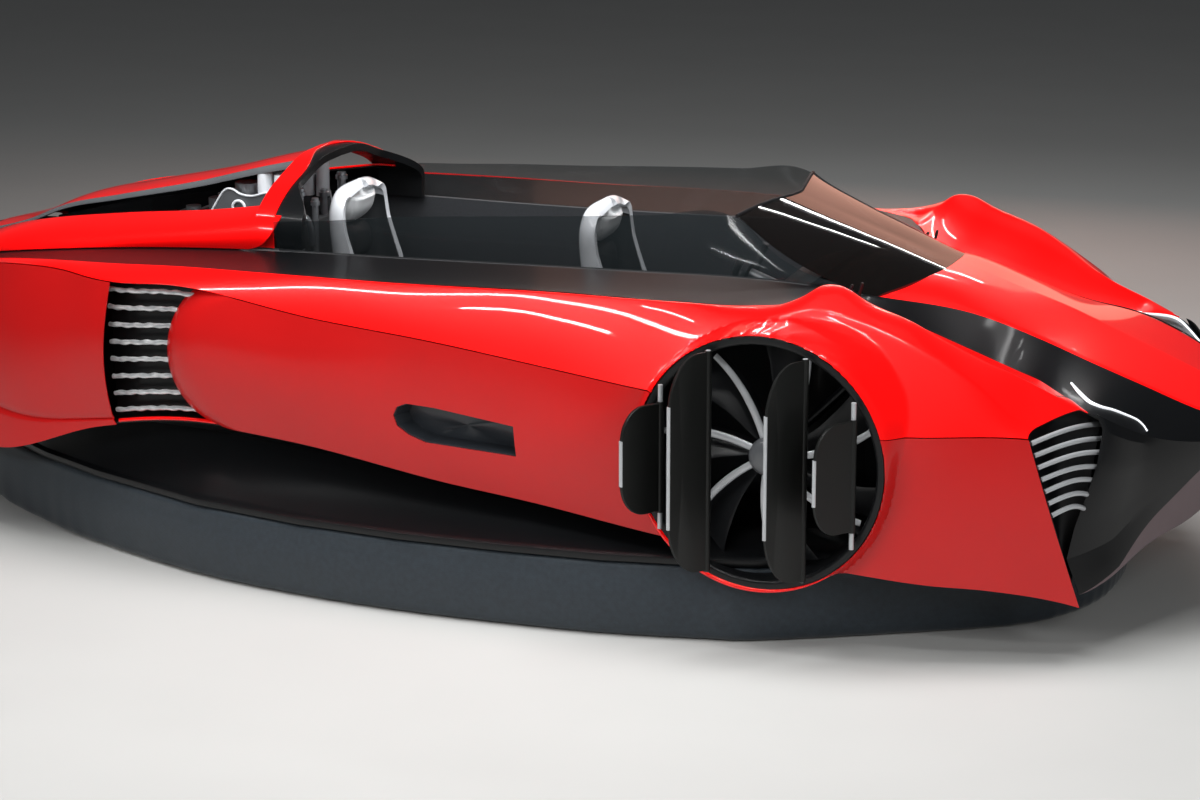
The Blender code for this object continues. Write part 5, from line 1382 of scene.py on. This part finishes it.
def stalks():
    """Two short black switch stalks on the deck beside the windshield's foot."""
    for tag, side in (("left", 1), ("right", -1)):
        parts = []
        for k, (foot, tip) in enumerate((((1.13, 0.50, 1.125), (1.15, 0.50, 1.168)),
                                         ((1.17, 0.50, 1.115), (1.185, 0.50, 1.178)))):
            path = np.array(foot) + (np.array(tip) - foot) * np.linspace(0, 1, 8)[:, None]
            radius = np.array((0.010, 0.010, 0.006, 0.006, 0.006, 0.006, 0.006, 0.004))
            parts.append(capped(f"stalk_{tag}_{k}", tube(path, radius, 14, 1, (0, 1, 0)), NYLON, side))
        made = merged(f"switch_stalks_{tag}", parts)


# Stage, light and camera

def stage():
    """Plain pale floor, 60 m wide."""
    n = 40
    u = np.linspace(-30.0, 30.0, n)
    x, y = np.meshgrid(u, u, indexing="ij")
    grid = np.stack([x, y, np.zeros_like(x)], -1)
    mesh = bpy.data.meshes.new("studio_floor")
    mesh.from_pydata(grid.reshape(-1, 3).tolist(), [], grid_faces(n, n).tolist())
    mesh.materials.append(pale_floor())
    floor = bpy.data.objects.new("studio_floor", mesh)
    bpy.context.scene.collection.objects.link(floor)


def soft_box(name, place, target, size, watts, colour="#ffffff", mirrored_in=True):
    """Area light that faces a target point, left out of reflections where it would only
    wash a lacquer's colour out."""
    lamp = bpy.data.lights.new(name, "AREA")
    lamp.shape = "RECTANGLE"
    lamp.size, lamp.size_y = size
    lamp.energy = watts
    lamp.color = linear(colour)[:3]
    made = bpy.data.objects.new(name, lamp)
    made.location = place
    made.visible_glossy = mirrored_in
    way = Vector(target) - Vector(place)
    made.rotation_euler = way.to_track_quat("-Z", "Y").to_euler()
    bpy.context.scene.collection.objects.link(made)


def lights():
    """Dim sky, three wide soft boxes that only light, a warm one on the port side that mirrors
    in surfaces that lie nearly flat, and narrow strips that mirror as white streaks."""
    bpy.context.scene.view_settings.view_transform = "Standard"
    world = bpy.data.worlds.new("studio")
    world.use_nodes = True
    world.node_tree.nodes["Background"].inputs["Color"].default_value = linear("#dfe3e8")
    world.node_tree.nodes["Background"].inputs["Strength"].default_value = 0.07
    bpy.context.scene.world = world
    soft_box("over", (0.5, -1.0, 5.5), (0.2, 0, 0.8), (5.5, 2.0), 380, mirrored_in=False)
    soft_box("front", (5.5, -4.5, 3.2), (0.6, 0, 0.8), (1.6, 2.6), 115, mirrored_in=False)
    soft_box("side", (-2.5, -6.5, 3.2), (0, 0, 0.7), (3.0, 0.6), 130, mirrored_in=False)
    soft_box("warm", (-0.69, 6.5, 2.85), (-0.69, 0, 1.0), (4.62, 2.7), 46, "#ffb9a0")
    soft_box("streak", (-0.4, 6.5, 4.6), (0.6, 0, 1.0), (4.0, 0.12), 40)
    soft_box("screen_streak", (0.2, 3.9, 4.6), (1.0, -0.25, 1.2), (2.4, 0.10), 25)
    soft_box("strip", (-1.5, -2.6, 4.6), (-0.6, -0.8, 1.0), (3.4, 0.16), 60)
    soft_box("short_strip", (1.6, -3.2, 4.2), (1.0, -0.9, 1.0), (1.2, 0.14), 22)
    strips = ((-1.0, -3.4, 3.9, 0.9), (0.2, -2.2, 4.3, 0.6), (1.1, -2.4, 4.0, 0.5),
              (2.0, -2.9, 3.6, 0.5), (0.6, -4.4, 3.2, 1.4))
    for k, (x, y, z, length) in enumerate(strips):
        soft_box(f"streak_{k}", (x, y, z), (x * 0.4 + 0.4, -0.9, 1.0), (length, 0.08), 12 * length)


def camera():
    """Camera at the photograph's angle: 21 degrees round from the beam to the bow and 14.5
    degrees up, with a 99 mm lens."""
    azimuth, elevation, distance = math.radians(21.0), math.radians(14.5), 12.69
    target = np.array((0.0, 0.0, 0.52))
    back = np.array((math.sin(azimuth) * math.cos(elevation), -math.cos(azimuth) * math.cos(elevation),
                     math.sin(elevation)))
    data = bpy.data.cameras.new("camera")
    data.lens = 99.0
    data.sensor_width = 36.0
    made = bpy.data.objects.new("camera", data)
    made.location = target + back * distance
    made.rotation_euler = Vector(-back).to_track_quat("-Z", "Y").to_euler()
    bpy.context.scene.collection.objects.link(made)
    bpy.context.scene.camera = made


def dress_nodes():
    """Finishes on the CAD nodes that stay in view."""
    finishes = {"cockpit_tub": FELT, "engine_bay": NYLON, "foredeck": BLACK, "tail_panel": BLACK,
                "tail_lamp": TAIL, "landing_skid_left": RUBBER, "landing_skid_right": RUBBER,
                "engine_block": ALLOY}
    for name, finish in finishes.items():
        mesh = frame["nodes"][name].data
        mesh.materials.clear()
        mesh.materials.append(finish)


def main():
    dress_nodes()
    for tag, side in (("left", 1), ("right", -1)):
        pod_top(side, tag)
        pod_side(side, tag)
        side_slot(side, tag)
        rear_side(side, tag)
        pod_under(side, tag)
        waist_strip(side, tag)
        rails(side, tag)
        shoulder(side, tag)
        side_glass(side, tag)
        duct(side, tag)
        fan(side, tag)
        for k, joint in enumerate(VANE_JOINTS, 1):
            vane(side, tag, k, joint)
        rear_vent(side, tag)
        front_vent(side, tag)
        light_blade(side, tag)
    bonnet()
    nose()
    spine()
    windshield()
    arch()
    skirt()
    hull()
    seat("seat_front", 0.115)
    seat("seat_rear", -0.92)
    dash()
    yoke()
    engine()
    stalks()
    stage()
    lights()
    camera()


main()
